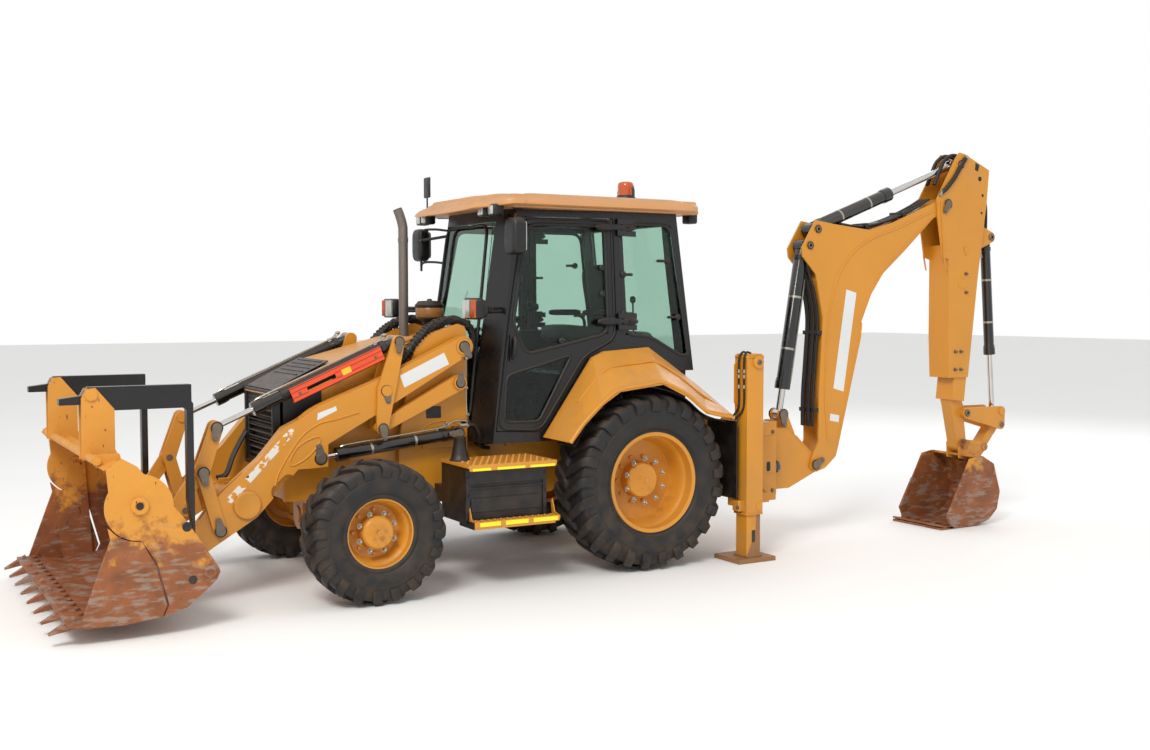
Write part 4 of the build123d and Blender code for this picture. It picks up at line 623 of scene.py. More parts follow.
# Air intake: black cap with a rolled brim over an amber dust bowl, on a ribbed rubber neck.
bowl_x, bowl_y = 1.400, 0.060
cap = turned([(1.995, 0.105), (2.005, 0.112), (2.018, 0.112), (2.030, 0.098), (2.046, 0.086), (2.050, 0.02),
        (2.062, 0.016), (2.064, 0.008)], (bowl_x, bowl_y, 0), (0, 0, 1), 48)
neck = turned([(1.760, 0.075), (1.775, 0.075), (1.782, 0.055)]
        + [(1.79 + 0.012 * k, 0.050 + 0.008 * (k % 2)) for k in range(9)]
        + [(1.905, 0.085), (1.915, 0.104), (1.925, 0.104)], (bowl_x, bowl_y, 0), (0, 0, 1), 36)
intake = piece("intake_cap", [cap, neck], black_plastic, "chassis")
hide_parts("air_precleaner")
amber = Recipe("amber_bowl")
amber.wear(amber.mix(amber.grain(0.05), tint(184, 128, 58), tint(120, 78, 34)),
        amber.step(amber.grain(0.03), 0, 1, 0.2, 0.4))
amber.relief((amber.grain(0.01), 0.0004))
amber.plain(Transmission_Weight=0.25, IOR=1.45)
piece("intake_bowl", [turned([(1.920, 0.100), (1.930, 0.106), (1.990, 0.108), (1.997, 0.104)],
        (bowl_x, bowl_y, 0), (0, 0, 1), 48)], amber.material, "chassis")


def recolour(node, material, low, high):
    """Second finish for the faces of a dressed node whose middles lie in a box from the rear axle."""
    mesh = dressed[node].data
    mesh.materials.append(material)
    middles = np.zeros(len(mesh.polygons) * 3)
    mesh.polygons.foreach_get("center", middles)
    middles = middles.reshape(-1, 3) - (rear_axle_x, 0, 0)
    inside = ((middles > low) & (middles < high)).all(1)
    which = np.zeros(len(mesh.polygons), np.int32)
    mesh.polygons.foreach_get("material_index", which)
    which[inside] = len(mesh.materials) - 1
    mesh.polygons.foreach_set("material_index", which)


recolour("hood_body", black_plastic, (2.60, -0.30, 0.88), (2.71, 0.30, 1.40))

# ------------------------------------------------------------------ cab
# Welded tube frame, painted black, its panes bonded in with rubber gaskets. Doors hang from dark cast
# pads at their rear edge. The lamps, mirrors and beacon are bolted on.
cab_black = dusty("cab_black", tint(17, 17, 18), 0.12, (0.22, 0.4))
roof_tan = painted_steel("roof_tan", tint(204, 148, 96), 0.2, 0.68, 0.5)
hose_rubber = dusty("hose_rubber", tint(14, 14, 15), 0.16, (0.45, 0.65), 0.003, 0.00015)
seat_vinyl = dusty("seat_vinyl", tint(46, 44, 43), 0.15, (0.4, 0.6), 0.002, 0.0002)
rod_chrome = dusty("rod_chrome", tint(208, 208, 206), 0.05, (0.06, 0.16), 0.02, 0.00003, Metallic=1.0)
glass = Recipe("window_glass")
glass.wear(glass.mix(glass.grain(0.5), tint(202, 224, 214), tint(192, 218, 206)),
        glass.step(glass.grain(0.2, 4), 0, 1, 0.01, 0.05))
glass.relief((glass.grain(0.7, 2), 0.0006), (glass.grain(0.006, 2), 0.00001))
glass.plain(Transmission_Weight=1.0, IOR=1.3)
window_glass = glass.material
dress({"cab_frame": 0.007, "door_left": 0.005, "door_right": 0.005}, cab_black)
dress({"cab_roof": 0.012}, roof_tan)
dress({"cab_interior": None}, seat_vinyl)
dress({"cab_glass": None, "door_glass_left": None, "door_glass_right": None}, window_glass)
dress({"lamps_and_mirrors": None}, black_plastic)
CAB_LOW = ((1.250, 0.450), (1.180, 0.690), (0.150, 0.780), (-0.620, 0.780))
CAB_HIGH = ((1.030, 0.380), (0.930, 0.590), (0.130, 0.700), (-0.430, 0.700))


def cab_wall(x, z):
    """Distance from the middle plane to the outside of the cab's side."""
    rise = (np.asarray(z) - 1.0) / 1.73
    front, pillar = ([(1 - rise) * low[k] + rise * high[k] for k in (0, 1)]
            for low, high in zip(CAB_LOW[1:3], CAB_HIGH[1:3]))
    slope = (front[1] - pillar[1]) / (front[0] - pillar[0])
    return pillar[1] + np.clip(x - pillar[0], 0, None) * slope


def rounded(outline, radius, steps=5):
    """Closed outline with its corners turned into arcs that start radius away from each corner."""
    outline = np.array(outline, float)
    path = []
    for before, corner, after in zip(np.roll(outline, 1, 0), outline, np.roll(outline, -1, 0)):
        into, out = before - corner, after - corner
        reach = min(radius, 0.45 * np.linalg.norm(into), 0.45 * np.linalg.norm(out))
        a, b = corner + into / np.linalg.norm(into) * reach, corner + out / np.linalg.norm(out) * reach
        t = np.linspace(0, 1, steps)[:, None]
        path.append((1 - t) ** 2 * a + 2 * t * (1 - t) * corner + t**2 * b)
    return np.vstack(path)


def pebble(centre, size, power=0.35, rings=16, sides=32, tilt=0.0):
    """Box with large soft corners: a sphere whose sines are raised to a power under one."""
    down = np.linspace(0.02, np.pi - 0.02, rings)[:, None]
    turn = np.linspace(0, 2 * np.pi, sides, endpoint=False)[None]

    def bulge(value):
        """Sine or cosine pushed outwards, its sign kept."""
        return np.sign(value) * np.abs(value) ** power

    grid = np.stack(np.broadcast_arrays(bulge(np.sin(down)) * bulge(np.cos(turn)),
            bulge(np.sin(down)) * bulge(np.sin(turn)), bulge(np.cos(down))), -1) * np.array(size) / 2
    x, z = grid[..., 0].copy(), grid[..., 2].copy()
    grid[..., 0], grid[..., 2] = x * np.cos(tilt) + z * np.sin(tilt), z * np.cos(tilt) - x * np.sin(tilt)
    return skin(grid + np.array(centre))


DOOR_EDGE = [(0.882, 2.670), (1.026, 1.885), (1.146, 1.092), (0.804, 1.075), (0.424, 1.622), (0.186, 1.741),
        (0.150, 1.800), (0.160, 2.670)]
UPPER_PANE = [(0.850, 2.620), (0.222, 2.620), (0.212, 1.800), (0.892, 1.650), (0.947, 1.787),
        (0.985, 1.880)]
LOWER_PANE = [(1.050, 1.495), (0.520, 1.640), (0.804, 1.150), (1.080, 1.153)]
QUARTER = [(0.090, 2.640), (-0.380, 2.640), (-0.520, 1.620), (-0.440, 1.620), (-0.146, 1.780),
        (0.060, 1.780)]


def wall_path(outline, flank, proud, radius):
    """Outline laid on the cab's side, standing proud of it."""
    x, z = rounded(outline, radius).T
    return np.stack([x, flank * (cab_wall(x, z) + proud), z], -1)


for side_name, flank in (("left", 1), ("right", -1)):
    door_body = side_name + "_door"
    trim = [along(wall_path(UPPER_PANE, flank, -0.002, 0.09), 0.014, 8, 0.6, closed=True),
            along(wall_path(LOWER_PANE, flank, -0.002, 0.05), 0.012, 8, 0.6, closed=True),
            along(wall_path([(x * 0.97 + 0.017, z * 0.985 + 0.028) for x, z in DOOR_EDGE], flank, 0.001,
            0.07), 0.009, 8, closed=True)]
    # latch: pull handle on two feet
    y = float(cab_wall(1.012, 1.70))
    trim.append(along([(0.998, flank * (y + 0.020), 1.775), (1.000, flank * (y + 0.045), 1.755),
            (1.006, flank * (y + 0.047), 1.70), (1.012, flank * (y + 0.045), 1.645),
            (1.014, flank * (y + 0.020), 1.625)], 0.012, 10, 1.4))
    piece("door_trim_" + side_name, trim, hose_rubber, door_body, 60)
    knobs = []
    for x, z in ((0.945, 2.125), (0.250, 2.30), (0.250, 2.10), (0.60, 1.745)):
        place = (x, flank * (float(cab_wall(x, z)) - 0.012), z)
        knobs.append(turned([(0, 0.022), (0.008, 0.024), (0.014, 0.018), (0.016, 0.006)], place,
                (0, flank, 0), 20))
    for level in (2.61, 1.89):
        y = float(cab_wall(0.15, level))
        knobs.append(slab([(0.20 + 0.105 * np.cos(t) + 0.02, level + 0.030 * np.sin(t))
                for t in np.linspace(0, 2 * np.pi, 32, endpoint=False)], flank * (y + 0.004),
                flank * (y + 0.034), 0.010))
    piece("door_fittings_" + side_name, knobs, black_plastic, door_body)

    pads = []
    for level in (2.61, 1.89):
        y = float(cab_wall(0.05, level))
        pads.append(slab([(0.045 + 0.085 * np.cos(t), level + 0.030 * np.sin(t))
                for t in np.linspace(0, 2 * np.pi, 32, endpoint=False)], flank * (y + 0.004),
                flank * (y + 0.034), 0.010))
        pads += bolt((0.04, flank * (y + 0.032), level), (0, flank, 0), 0.009, 0.006)
    pads.append(along(wall_path(QUARTER, flank, -0.002, 0.09), 0.014, 8, 0.6, closed=True))
    # catches and hinges on the quarter window
    for x, z in ((-0.335, 2.36), (-0.425, 1.92), (0.075, 2.25), (0.075, 1.95)):
        place = (x, flank * (float(cab_wall(x, z)) - 0.004), z)
        pads.append(turned([(0, 0.026), (0.012, 0.026), (0.018, 0.018), (0.020, 0.004)], place,
                (0, flank, 0), 20))
        pads.append(round_box((x + (0.045 if x < 0 else -0.04), place[1], z), (0.09, 0.03, 0.022), 0.008))
    # rain rail over the door, grab rail inside the front pillar
    top = np.array([(1.00, 2.735), (0.60, 2.745), (0.0, 2.745), (-0.42, 2.735)])
    pads.append(along(eased([(x, flank * (0.665 + 0.02 * (x < 0.9)), z) for x, z in top]), 0.012, 8))
    piece("cab_trim_" + side_name, pads, black_plastic, "chassis", 60)

    # mirror: moulded shell with a soft rear, glass in a recess at the back, on a bent tube
    mirror_y = flank * (0.80 if flank > 0 else 0.90)
    mirror = [pebble((1.050, mirror_y, 2.515), (0.110, 0.180, 0.270), 0.45, 20, 40)]
    if flank > 0:
        mirror.append(along(eased([(0.955, 0.60, 2.62), (0.985, 0.68, 2.665), (1.03, 0.77, 2.665),
                (1.050, 0.80, 2.60)]), 0.013, 10))
        mirror.append(along(eased([(0.99, 0.63, 2.42), (1.02, 0.70, 2.40), (1.045, 0.78, 2.44)]), 0.010,
                10))
    else:
        for z in (2.62, 2.35):
            mirror.append(along(eased([(0.955, -0.54, z), (1.01, -0.72, z + 0.02),
                    (1.045, -0.88, z + 0.015), (1.05, -0.90, z - 0.05)]), 0.010, 10))
        mirror.append(along([(1.05, -0.90, 2.62), (1.05, -0.90, 2.34)], 0.010, 10))
    shell = piece("mirror_" + side_name, mirror, black_plastic, "chassis", 60)
    piece("mirror_glass_" + side_name, [slab(rounded([(mirror_y - 0.072, 2.405), (mirror_y + 0.072, 2.405),
            (mirror_y + 0.072, 2.625), (mirror_y - 0.072, 2.625)], 0.03), 0.990, 0.999, 0.002, "x")],
            rod_chrome, "chassis")

    # work lamp: black shell with a fluted clear lens and an amber indicator beside it
    x, y, z = 1.372, flank * 0.774, 1.990
    shell = [round_box((x, y, z), (0.085, 0.215, 0.155), 0.03, "x"),
            pebble((x - 0.045, y, z), (0.09, 0.17, 0.13), 0.6), along(eased([(x - 0.07, y, z - 0.01),
            (x - 0.13, y - flank * 0.05, z - 0.02), (1.06, flank * 0.60, z - 0.02)]), 0.014, 10)]
    for k in range(4):
        shell.append(turned([(0, 0.022), (0.008, 0.022)], (x - 0.10 - 0.022 * k, y - flank * 0.02 * k,
                z - 0.015), (1, 0.3 * flank, 0), 16))
    piece("work_lamp_" + side_name, shell, black_plastic, "chassis", 50)
    for part, offset, wide in (("lens", -0.038, 0.122), ("indicator", 0.067, 0.066)):
        ribs = np.linspace(-0.5, 0.5, 25)
        depth = 0.042 + 0.006 * (1 - (2 * ribs) ** 2) + 0.0015 * np.cos(ribs * 24 * np.pi)
        rows = np.array([(-0.064, -0.004), (-0.062, 0.0), (0.062, 0.0), (0.064, -0.004)])
        front = np.stack(np.broadcast_arrays(x + depth[None, :] + rows[:, 1:2],
                y + flank * offset + ribs[None, :] * wide, z + rows[:, :1]), -1)
        back = front[:, ::-1].copy()
        back[..., 0] = x + 0.030
        lens = piece(f"lamp_{part}_{side_name}", [skin(np.concatenate([front, back], 1))],
                     stack_metal, "chassis", 60)
        lens.data.materials.clear()
        lens["part"] = part

lens_clear = Recipe("lens_clear")
lens_clear.wear(lens_clear.mix(lens_clear.grain(0.02, 4), tint(214, 214, 208), tint(150, 152, 150)),
        lens_clear.step(lens_clear.grain(0.05), 0, 1, 0.08, 0.2))
lens_clear.relief((lens_clear.grain(0.01), 0.0006))
lens_clear.plain(Metallic=0.35, Coat_Weight=0.6)
lens_amber = Recipe("lens_amber")
lens_amber.wear(lens_amber.mix(lens_amber.grain(0.02, 4), tint(226, 104, 20), tint(176, 66, 12)),
        lens_amber.step(lens_amber.grain(0.05), 0, 1, 0.1, 0.25))
lens_amber.relief((lens_amber.grain(0.006), 0.0005))
lens_amber.plain(Transmission_Weight=0.15, Coat_Weight=0.5)
for lens in list(scene.objects):
    if lens.get("part"):
        lens.data.materials.append(lens_clear.material if lens["part"] == "lens" else lens_amber.material)
        del lens["part"]

# Roof lamps: small black shells with square lenses, in pairs under the front brim and one pair behind.
shells, faces = [], []
for flank in (-1, 1):
    for x, y, way in ((1.135, 0.66, 1), (1.150, 0.52, 1), (-0.635, 0.60, -1)):
        shells.append(round_box((x, flank * y, 2.708), (0.085, 0.105, 0.085), 0.016, "x"))
        shells.append(along([(x - way * 0.01, flank * y, 2.745), (x - way * 0.03, flank * y, 2.775)], 0.012,
                8))
        faces.append(round_box((x + way * 0.042, flank * y, 2.708), (0.012, 0.078, 0.062), 0.010, "x"))
piece("roof_lamps", shells, black_plastic, "chassis", 50)
piece("roof_lamp_lenses", faces, lens_clear.material, "chassis", 50)

# Beacon: amber dome on a black foot between two short posts, and a small flag-shaped mirror in front.
bx, by = -0.180, 0.360
foot = [turned([(2.80, 0.085), (2.86, 0.085), (2.880, 0.075), (2.890, 0.07)], (bx, by, 0), (0, 0, 1), 36)]
for dy in (-0.11, 0.11):
    foot.append(along([(bx, by + dy, 2.80), (bx, by + dy, 2.925), (bx, by + dy * 0.9, 2.945)], 0.011, 10))
foot.append(round_box((1.115, -0.62, 2.970), (0.012, 0.115, 0.165), 0.008, "x"))
foot.append(along([(1.115, -0.62, 2.79), (1.115, -0.62, 2.90)], 0.007, 8))
beacon_foot = piece("beacon_foot", foot, black_plastic, "chassis", 50)
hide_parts("lamps_and_mirrors")
dome = [(2.886, 0.066)] + [(2.90 + 0.014 * k, 0.068 - 0.003 * (k % 2))
        for k in range(6)] + [(2.985, 0.064), (2.995, 0.052), (3.0, 0.03)]
piece("beacon_dome", [turned(dome, (bx, by, 0), (0, 0, 1), 40)], lens_amber.material, "chassis", 60)

# Roof: one moulded panel, crowned in the middle, with a gutter line round it and a drooping front brim.
half_edge = [(1.325, 0.20), (1.290, 0.50), (1.155, 0.66), (1.110, 0.80), (0.92, 0.825), (-0.545, 0.835),
        (-0.640, 0.70), (-0.665, 0.30)]
edge_line = rounded(half_edge + [(x, -y) for x, y in half_edge[::-1]], 0.09, 6)


def roof_top(x, y, lip):
    """Height of the roof's upper face: crown, brim and the dip beside the front corners."""
    z = 2.800 + 0.045 * np.clip(lip, 0, 1) ** 0.7
    z = z - 0.075 * np.clip((x - 1.06) / 0.26, 0, 1) ** 1.3
    return z - 0.022 * np.exp(-((x - 0.97) / 0.055) ** 2) * np.clip((np.abs(y) - 0.55) / 0.2, 0, 1)


rings = []
for shrink, lip, drop in ((0.90, None, 2.742), (0.985, None, 2.744), (1.0, None, 2.752),
        (1.003, 0.0, -0.018), (0.995, 0.0, -0.003), (0.975, 0.10, 0), (0.945, 0.14, 0), (0.925, 0.10, 0),
        (0.900, 0.55, 0), (0.84, 0.85, 0), (0.6, 1.0, 0), (0.3, 1.0, 0)):
    ring = (edge_line - (0.33, 0)) * shrink + (0.33, 0)
    z = np.full(len(ring), drop) if lip is None else roof_top(ring[:, 0], ring[:, 1], lip) + drop
    if lip is None:
        z = z - 0.035 * np.clip((ring[:, 0] - 1.06) / 0.26, 0, 1)
    rings.append(np.column_stack([ring, z]))
roof = piece("roof_panel", [skin(np.array(rings))], roof_tan, "chassis", 40)
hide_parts("cab_roof")
pressings = []
for y in (-0.42, -0.14, 0.14, 0.42):
    pressings.append(along(eased([(-0.50, y, 2.842), (0.2, y, 2.845), (0.90, y, 2.843)], 6), 0.010, 8, 1.6))
for flank in (-1, 1):
    pressings += bolt((0.97, flank * 0.815, 2.765), (0, flank, 0), 0.010, 0.008)
piece("roof_ribs", pressings, roof_tan, "chassis")

# Windscreen gasket, and wiper with its arm.
screen = [(1.245, -0.42, 1.16), (1.245, 0.42, 1.16), (1.055, 0.355, 2.62), (1.055, -0.355, 2.62)]
flat = np.array(screen)
front = rounded(flat[:, 1:], 0.08)
x = 1.257 - (front[:, 1] - 1.0) / 1.73 * 0.22
seal = [along(np.column_stack([x, front]), 0.014, 8, 0.6, closed=True)]
seal.append(along(eased([(1.262, 0.05, 1.27), (1.235, -0.10, 1.55), (1.205, -0.20, 1.85)]), 0.008, 8))
seal.append(along([(1.235, -0.30, 1.62), (1.170, -0.12, 2.15)], 0.010, 8, 0.5))
seal.append(turned([(0, 0.03), (0.03, 0.026)], (1.245, 0.05, 1.26), (1, 0, 0.1), 20))
piece("screen_seal", seal, hose_rubber, "chassis", 60)

# Seat: sprung base, foam cushions covered in vinyl with stitched bolsters, and arm rests.


def cushion(name, centre, size, tilt, groove):
    """Soft block: pebble with a crown, hollowed along two stitched lines."""
    points, faces = pebble((0, 0, 0), size, 0.42, 28, 56)
    wide, tall = size[1] / 2, size[2] / 2
    across, up = points[:, 1] / wide, points[:, 2] / tall
    points[:, 2] += 0.018 * np.maximum(up, 0) * (1 - across**2)
    line = np.exp(-((np.abs(across) - groove) / 0.06) ** 2)
    points[:, 2] -= 0.012 * line * (up > 0)
    points[:, 2] += 0.012 * np.exp(-((np.abs(across) - 0.85) / 0.12) ** 2) * (up > 0)
    x, z = points[:, 0].copy(), points[:, 2].copy()
    points[:, 0], points[:, 2] = x * np.cos(tilt) + z * np.sin(tilt), z * np.cos(tilt) - x * np.sin(tilt)
    soft = piece(name, [(points + np.array(centre), faces)], seat_vinyl, "chassis", 80)


cushion("seat_cushion", (0.080, 0, 1.770), (0.47, 0.49, 0.125), -0.08, 0.62)
cushion("seat_back", (-0.195, 0, 2.070), (0.56, 0.46, 0.120), -1.40 + np.pi, 0.62)
base = [round_box((0.06, 0, 1.565), (0.40, 0.40, 0.10), 0.03),
        pebble((0.06, 0, 1.655), (0.40, 0.42, 0.10), 0.5)]
for k in range(4):
    base.append(along([(0.06 + 0.20 * np.cos(t), 0.20 * np.sin(t), 1.60 + 0.022 * k)
            for t in np.linspace(0, 2 * np.pi, 28, endpoint=False)], 0.012, 8, closed=True))
for flank in (-1, 1):
    base.append(pebble((0.02, flank * 0.275, 1.955), (0.30, 0.06, 0.05), 0.5))
    base.append(along(eased([(-0.16, flank * 0.25, 1.80), (-0.16, flank * 0.275, 1.90),
            (-0.08, flank * 0.275, 1.945)]), 0.014, 8))
# steering column, wheel with three spokes, control levers with knobs, dash and side console
turn = np.linspace(0, 2 * np.pi, 48, endpoint=False)
tilt = np.radians(35)
hub = np.array((0.820, 0, 1.700))
normal = np.array((-np.sin(tilt), 0, np.cos(tilt)))
forward = np.array((np.cos(tilt), 0, np.sin(tilt)))
side = np.array((0, 1, 0))
rim = hub + 0.185 * (np.cos(turn)[:, None] * forward + np.sin(turn)[:, None] * side) + normal * 0.03
base.append(along(rim, 0.0135, 10, closed=True))
for angle in (0.5 * np.pi, 1.5 * np.pi, np.pi):
    base.append(along([hub, hub + normal * 0.03 + 0.18 * (np.cos(angle) * forward + np.sin(angle) * side)],
            0.010, 8, 1.6))
base.append(turned([(-0.30, 0.045), (-0.05, 0.040), (0.0, 0.040), (0.015, 0.030)], hub, normal, 24))
base.append(pebble((0.95, 0, 1.36), (0.26, 0.40, 0.60), 0.4))
base.append(pebble((0.90, 0, 1.62), (0.24, 0.46, 0.10), 0.5, tilt=0.4))
for x, y, tall in ((0.30, -0.36, 0.22), (0.24, -0.36, 0.20), (-0.36, 0.20, 0.26), (-0.36, -0.02, 0.26),
        (-0.36, -0.14, 0.22)):
    base.append(along([(x, y, 1.78), (x + 0.01, y, 1.78 + tall)], 0.007, 8))
    base.append(pebble((x + 0.01, y, 1.80 + tall), (0.045, 0.045, 0.06), 0.8))
base.append(pebble((0.22, -0.38, 1.68), (0.50, 0.16, 0.26), 0.35))
base.append(pebble((-0.40, 0.05, 1.66), (0.16, 0.60, 0.28), 0.35))
controls = piece("cab_controls", base, black_plastic, "chassis", 50)
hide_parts("cab_interior")

# ------------------------------------------------------------------ linkage pins
# Turned steel pins, each with a dark seal round it and a small retainer tab bolted beside it to the
# plate that holds it, so the tab's side tells which plate turns with the pin.
pin_steel = dusty("pin_steel", tint(122, 112, 102), 0.35, (0.35, 0.6), 0.004, 0.0003, Metallic=0.75)
dress({"rear_levers": 0.004, "lower_links": 0.008, "front_levers": 0.004, "front_links": 0.004})
dress({"bucket_pins": None, "front_link_pins": None, "front_lever_pins": None}, pin_steel)


def outer_face(node, x, z, flank, reach=0.07):
    """How far out a node reaches near a place, on one side of the machine."""
    mesh = frame["nodes"][node].data
    points = np.zeros(len(mesh.vertices) * 3)
    mesh.vertices.foreach_get("co", points)
    points = points.reshape(-1, 3) - (rear_axle_x, 0, 0)
    distance = np.hypot(points[:, 0] - x, points[:, 2] - z)
    near = distance < max(reach, distance.min() + 0.02)
    return float((points[near, 1] * flank).max() * flank)


def pin_head(x, y, z, flank, radius, way, tab=True):
    """Skins of a pin's face, and of its tab at an angle in degrees, and the seal round it."""
    face = [turned([(0.0, radius * 0.98), (0.005, radius * 0.98), (0.008, radius * 0.88),
            (0.008, radius * 0.5), (0.004, radius * 0.44), (0.004, radius * 0.12)], (x, y, z),
            (0, flank, 0), 28)]
    seal = [turned([(0.0, radius * 1.30), (0.003, radius * 1.30), (0.004, radius * 1.05)], (x, y, z),
            (0, flank, 0), 28)]
    if tab:
        aim = np.array((np.cos(np.radians(way)), np.sin(np.radians(way))))
        turn = np.radians(way) + np.linspace(0.5 * np.pi, 1.5 * np.pi, 9)
        near = np.stack([np.cos(turn), np.sin(turn)], -1) * radius * 1.05
        turn = turn + np.pi
        far = aim * radius * 2.3 + np.stack([np.cos(turn), np.sin(turn)], -1) * radius * 0.62
        outline = np.vstack([near, far]) + (x, z)
        face.append(slab(outline, y + flank * 0.001, y + flank * 0.007, 0.001))
        place = aim * radius * 2.3 + (x, z)
        face += bolt((place[0], y + flank * 0.006, place[1]), (0, flank, 0), radius * 0.34, radius * 0.26)
    return face, seal


PINS = (("chassis", "chassis_frame", 1.334, 1.711, 0.034, -120),
        ("chassis", "chassis_frame", 1.365, 1.445, 0.030, 90), ("chassis", "chassis_frame", 1.375, 1.075,
        0.030, 0), ("rear_levers", "rear_levers", 1.855, 1.756, 0.030, -85),
        ("rear_levers", "rear_levers", 1.952, 1.408, 0.032, -100),
        ("rear_levers", "rear_levers", 1.983, 1.142, 0.030, -100),
        ("front_levers", "front_levers", 3.148, 1.201, 0.032, -80),
        ("front_lever_pins", "front_lever_pins", 3.248, 0.910, 0.032, -100),
        ("front_link_pins", "front_link_pins", 3.140, 0.512, 0.032, 80),
        ("bucket_pins", "bucket_pins", 3.350, 0.366, 0.032, 40),
        ("arms", "loader_arms", 2.430, 0.952, 0.036, 80),)
for count, (body, node, x, z, radius, way) in enumerate(PINS):
    faces, seals = [], []
    for flank in (-1, 1):
        face, seal = pin_head(x, outer_face(node, x, z, flank), z, flank, radius, way)
        faces += face
        seals += seal
    piece(f"pin_faces_{count}", faces, pin_steel, body, 30)
    piece(f"pin_seals_{count}", seals, hose_rubber, body, 30)

# ------------------------------------------------------------------ loader arms
# Arms of box section in thick plate. Pressed relief stiffens their cheeks, a boss closes the torque
# tube's end, and a worn white strip and two blank signs are stuck on.
dress({"loader_arms": 0.006})
label_white = painted_steel("label_white", tint(226, 228, 228), 0.15, 0.80, 0.45)
strip_paint = Recipe("worn_strip")
torn = strip_paint.step(strip_paint.grain(0.05, 5, shift=2.0), 0.50, 0.53)
strip_shade = strip_paint.mix(torn, tint(226, 224, 216), YELLOW)
marks = strip_paint.step(strip_paint.grain(0.055, 4, stretch=(1, 1, 1), shift=8.0), 0.60, 0.62)
strip_shade = strip_paint.mix(marks, strip_shade, tint(20, 19, 18))
strip_paint.wear(strip_shade, strip_paint.step(strip_paint.grain(0.1), 0, 1, 0.35, 0.55))
strip_paint.relief((strip_paint.grain(0.02), 0.0003), (torn, 0.0002))
cheek = 0.525
for side_name, flank in (("left", 1), ("right", -1)):
    relief = []
    line = eased([(2.655, 0.945), (2.60, 1.035), (2.52, 1.085), (2.445, 1.105), (2.435, 1.075),
            (2.49, 1.0), (2.56, 0.945), (2.635, 0.915), (2.655, 0.945)], 6)[:-1]
    relief.append(along(np.column_stack([line[:, 0], np.full(len(line), flank * cheek), line[:, 1]]),
            0.007, 8, closed=True))
    line = eased([(2.755, 0.785), (2.735, 0.86), (2.66, 0.99), (2.56, 1.12), (2.44, 1.195), (2.31, 1.222),
            (2.15, 1.262)], 6)
    relief.append(along(np.column_stack([line[:, 0], np.full(len(line), flank * cheek), line[:, 1]]), 0.007,
            8))
    relief.append(turned([(-0.002, 0.094), (0.010, 0.094), (0.016, 0.088), (0.016, 0.070), (0.013, 0.060)],
                         (2.952, flank * 0.5325, 0.668), (0, flank, 0), 40))
    # welded edge bar over the arm's back
    line = eased([(1.40, 1.762), (1.846, 1.557), (2.028, 1.477), (2.443, 1.317), (2.578, 1.231)], 4)
    relief.append(along(np.column_stack([line[:, 0], np.full(len(line), flank * 0.480),
            line[:, 1] - 0.002]), 0.012, 6, 2.2))
    piece("arm_relief_" + side_name, relief, body_yellow, "arms")
    strip = [(2.642, 1.178), (2.604, 1.146), (3.055, 0.684), (3.100, 0.712), (2.905, 0.905), (2.69, 1.13)]
    piece("arm_strip_" + side_name, [slab(rounded(strip, 0.02), flank * cheek, flank * (cheek + 0.0015),
            0.0005)], strip_paint.material, "arms")
    labels = [slab([(2.450, 1.268), (2.318, 1.312), (2.311, 1.282), (2.455, 1.218)], flank * cheek,
            flank * (cheek + 0.0012), 0.0004), slab([(1.838, 1.512), (1.492, 1.670), (1.452, 1.585),
            (1.805, 1.424)], flank * cheek, flank * (cheek + 0.0012), 0.0004)]
    piece("arm_signs_" + side_name, labels, label_white, "arms")
    # tower: black blank plate, weld bead round the foot of the tower, stiffening fold
    tower = [round_box((1.525, flank * 0.4055, 1.228), (0.118, 0.004, 0.088), 0.004)]
    piece("tower_plate_" + side_name, tower, black_plastic, "chassis")
    fold = eased([(1.64, 1.02), (1.60, 1.115), (1.50, 1.155), (1.38, 1.150), (1.30, 1.115)], 6)
    welds = [along(np.column_stack([fold[:, 0], np.full(len(fold), flank * 0.404), fold[:, 1]]), 0.006, 8)]
    welds.append(round_box((1.47, flank * 0.412, 0.985), (0.30, 0.016, 0.05), 0.006))
    piece("tower_relief_" + side_name, welds, body_yellow, "chassis")

# Torque tube between the arms: collars, brackets and the hoses of the jaw's cylinders lying on it.
collars = []
for y in (-0.30, -0.18, 0.18, 0.30):
    collars.append(turned([(-0.012, 0.079), (0.012, 0.079)], (2.954, y, 0.670), (0, 1, 0), 36))
for y in (-0.10, 0.10):
    collars.append(round_box((2.935, y, 0.755), (0.09, 0.02, 0.05), 0.008))
piece("torque_collars", collars, body_yellow, "arms")
hoses = []
for flank in (-1, 1):
    for k in range(3):
        y = flank * (0.335 + 0.030 * k)
        hoses.append(along(eased([(2.30, y, 1.32), (2.52, y, 1.225), (2.66, y, 1.135),
                (2.80, y - flank * 0.04, 0.93), (2.875, y - flank * 0.10, 0.79),
                (2.955, y - flank * 0.16, 0.755 + 0.008 * k)], 8), 0.011, 8))
piece("jaw_hoses", hoses, hose_rubber, "arms", 60)
fittings = []
for flank in (-1, 1):
    for k in range(3):
        y = flank * (0.335 + 0.030 * k)
        fittings.append(turned([(-0.03, 0.014), (-0.01, 0.014), (-0.01, 0.017), (0.012, 0.017),
                (0.012, 0.012), (0.03, 0.012)], (2.30, y, 1.32), (1, 0, -0.42), 6))
piece("jaw_hose_ends", fittings, bright_zinc, "arms")

# ------------------------------------------------------------------ loader cylinders
# Honed black barrels with a screwed gland, plated fittings and thin steel oil lines clipped along
# them. An orange-red lock channel, for propping the arms, is stowed over one tilt cylinder.
barrel_black = dusty("barrel_black", tint(12, 12, 13), 0.06, (0.10, 0.25), Coat_Weight=0.5,
        Coat_Roughness=0.08)
dress({"lift_barrels": 0.003, "tilt_barrels": 0.003}, barrel_black)
dress({"lift_rods": None, "tilt_rods": None}, rod_chrome)


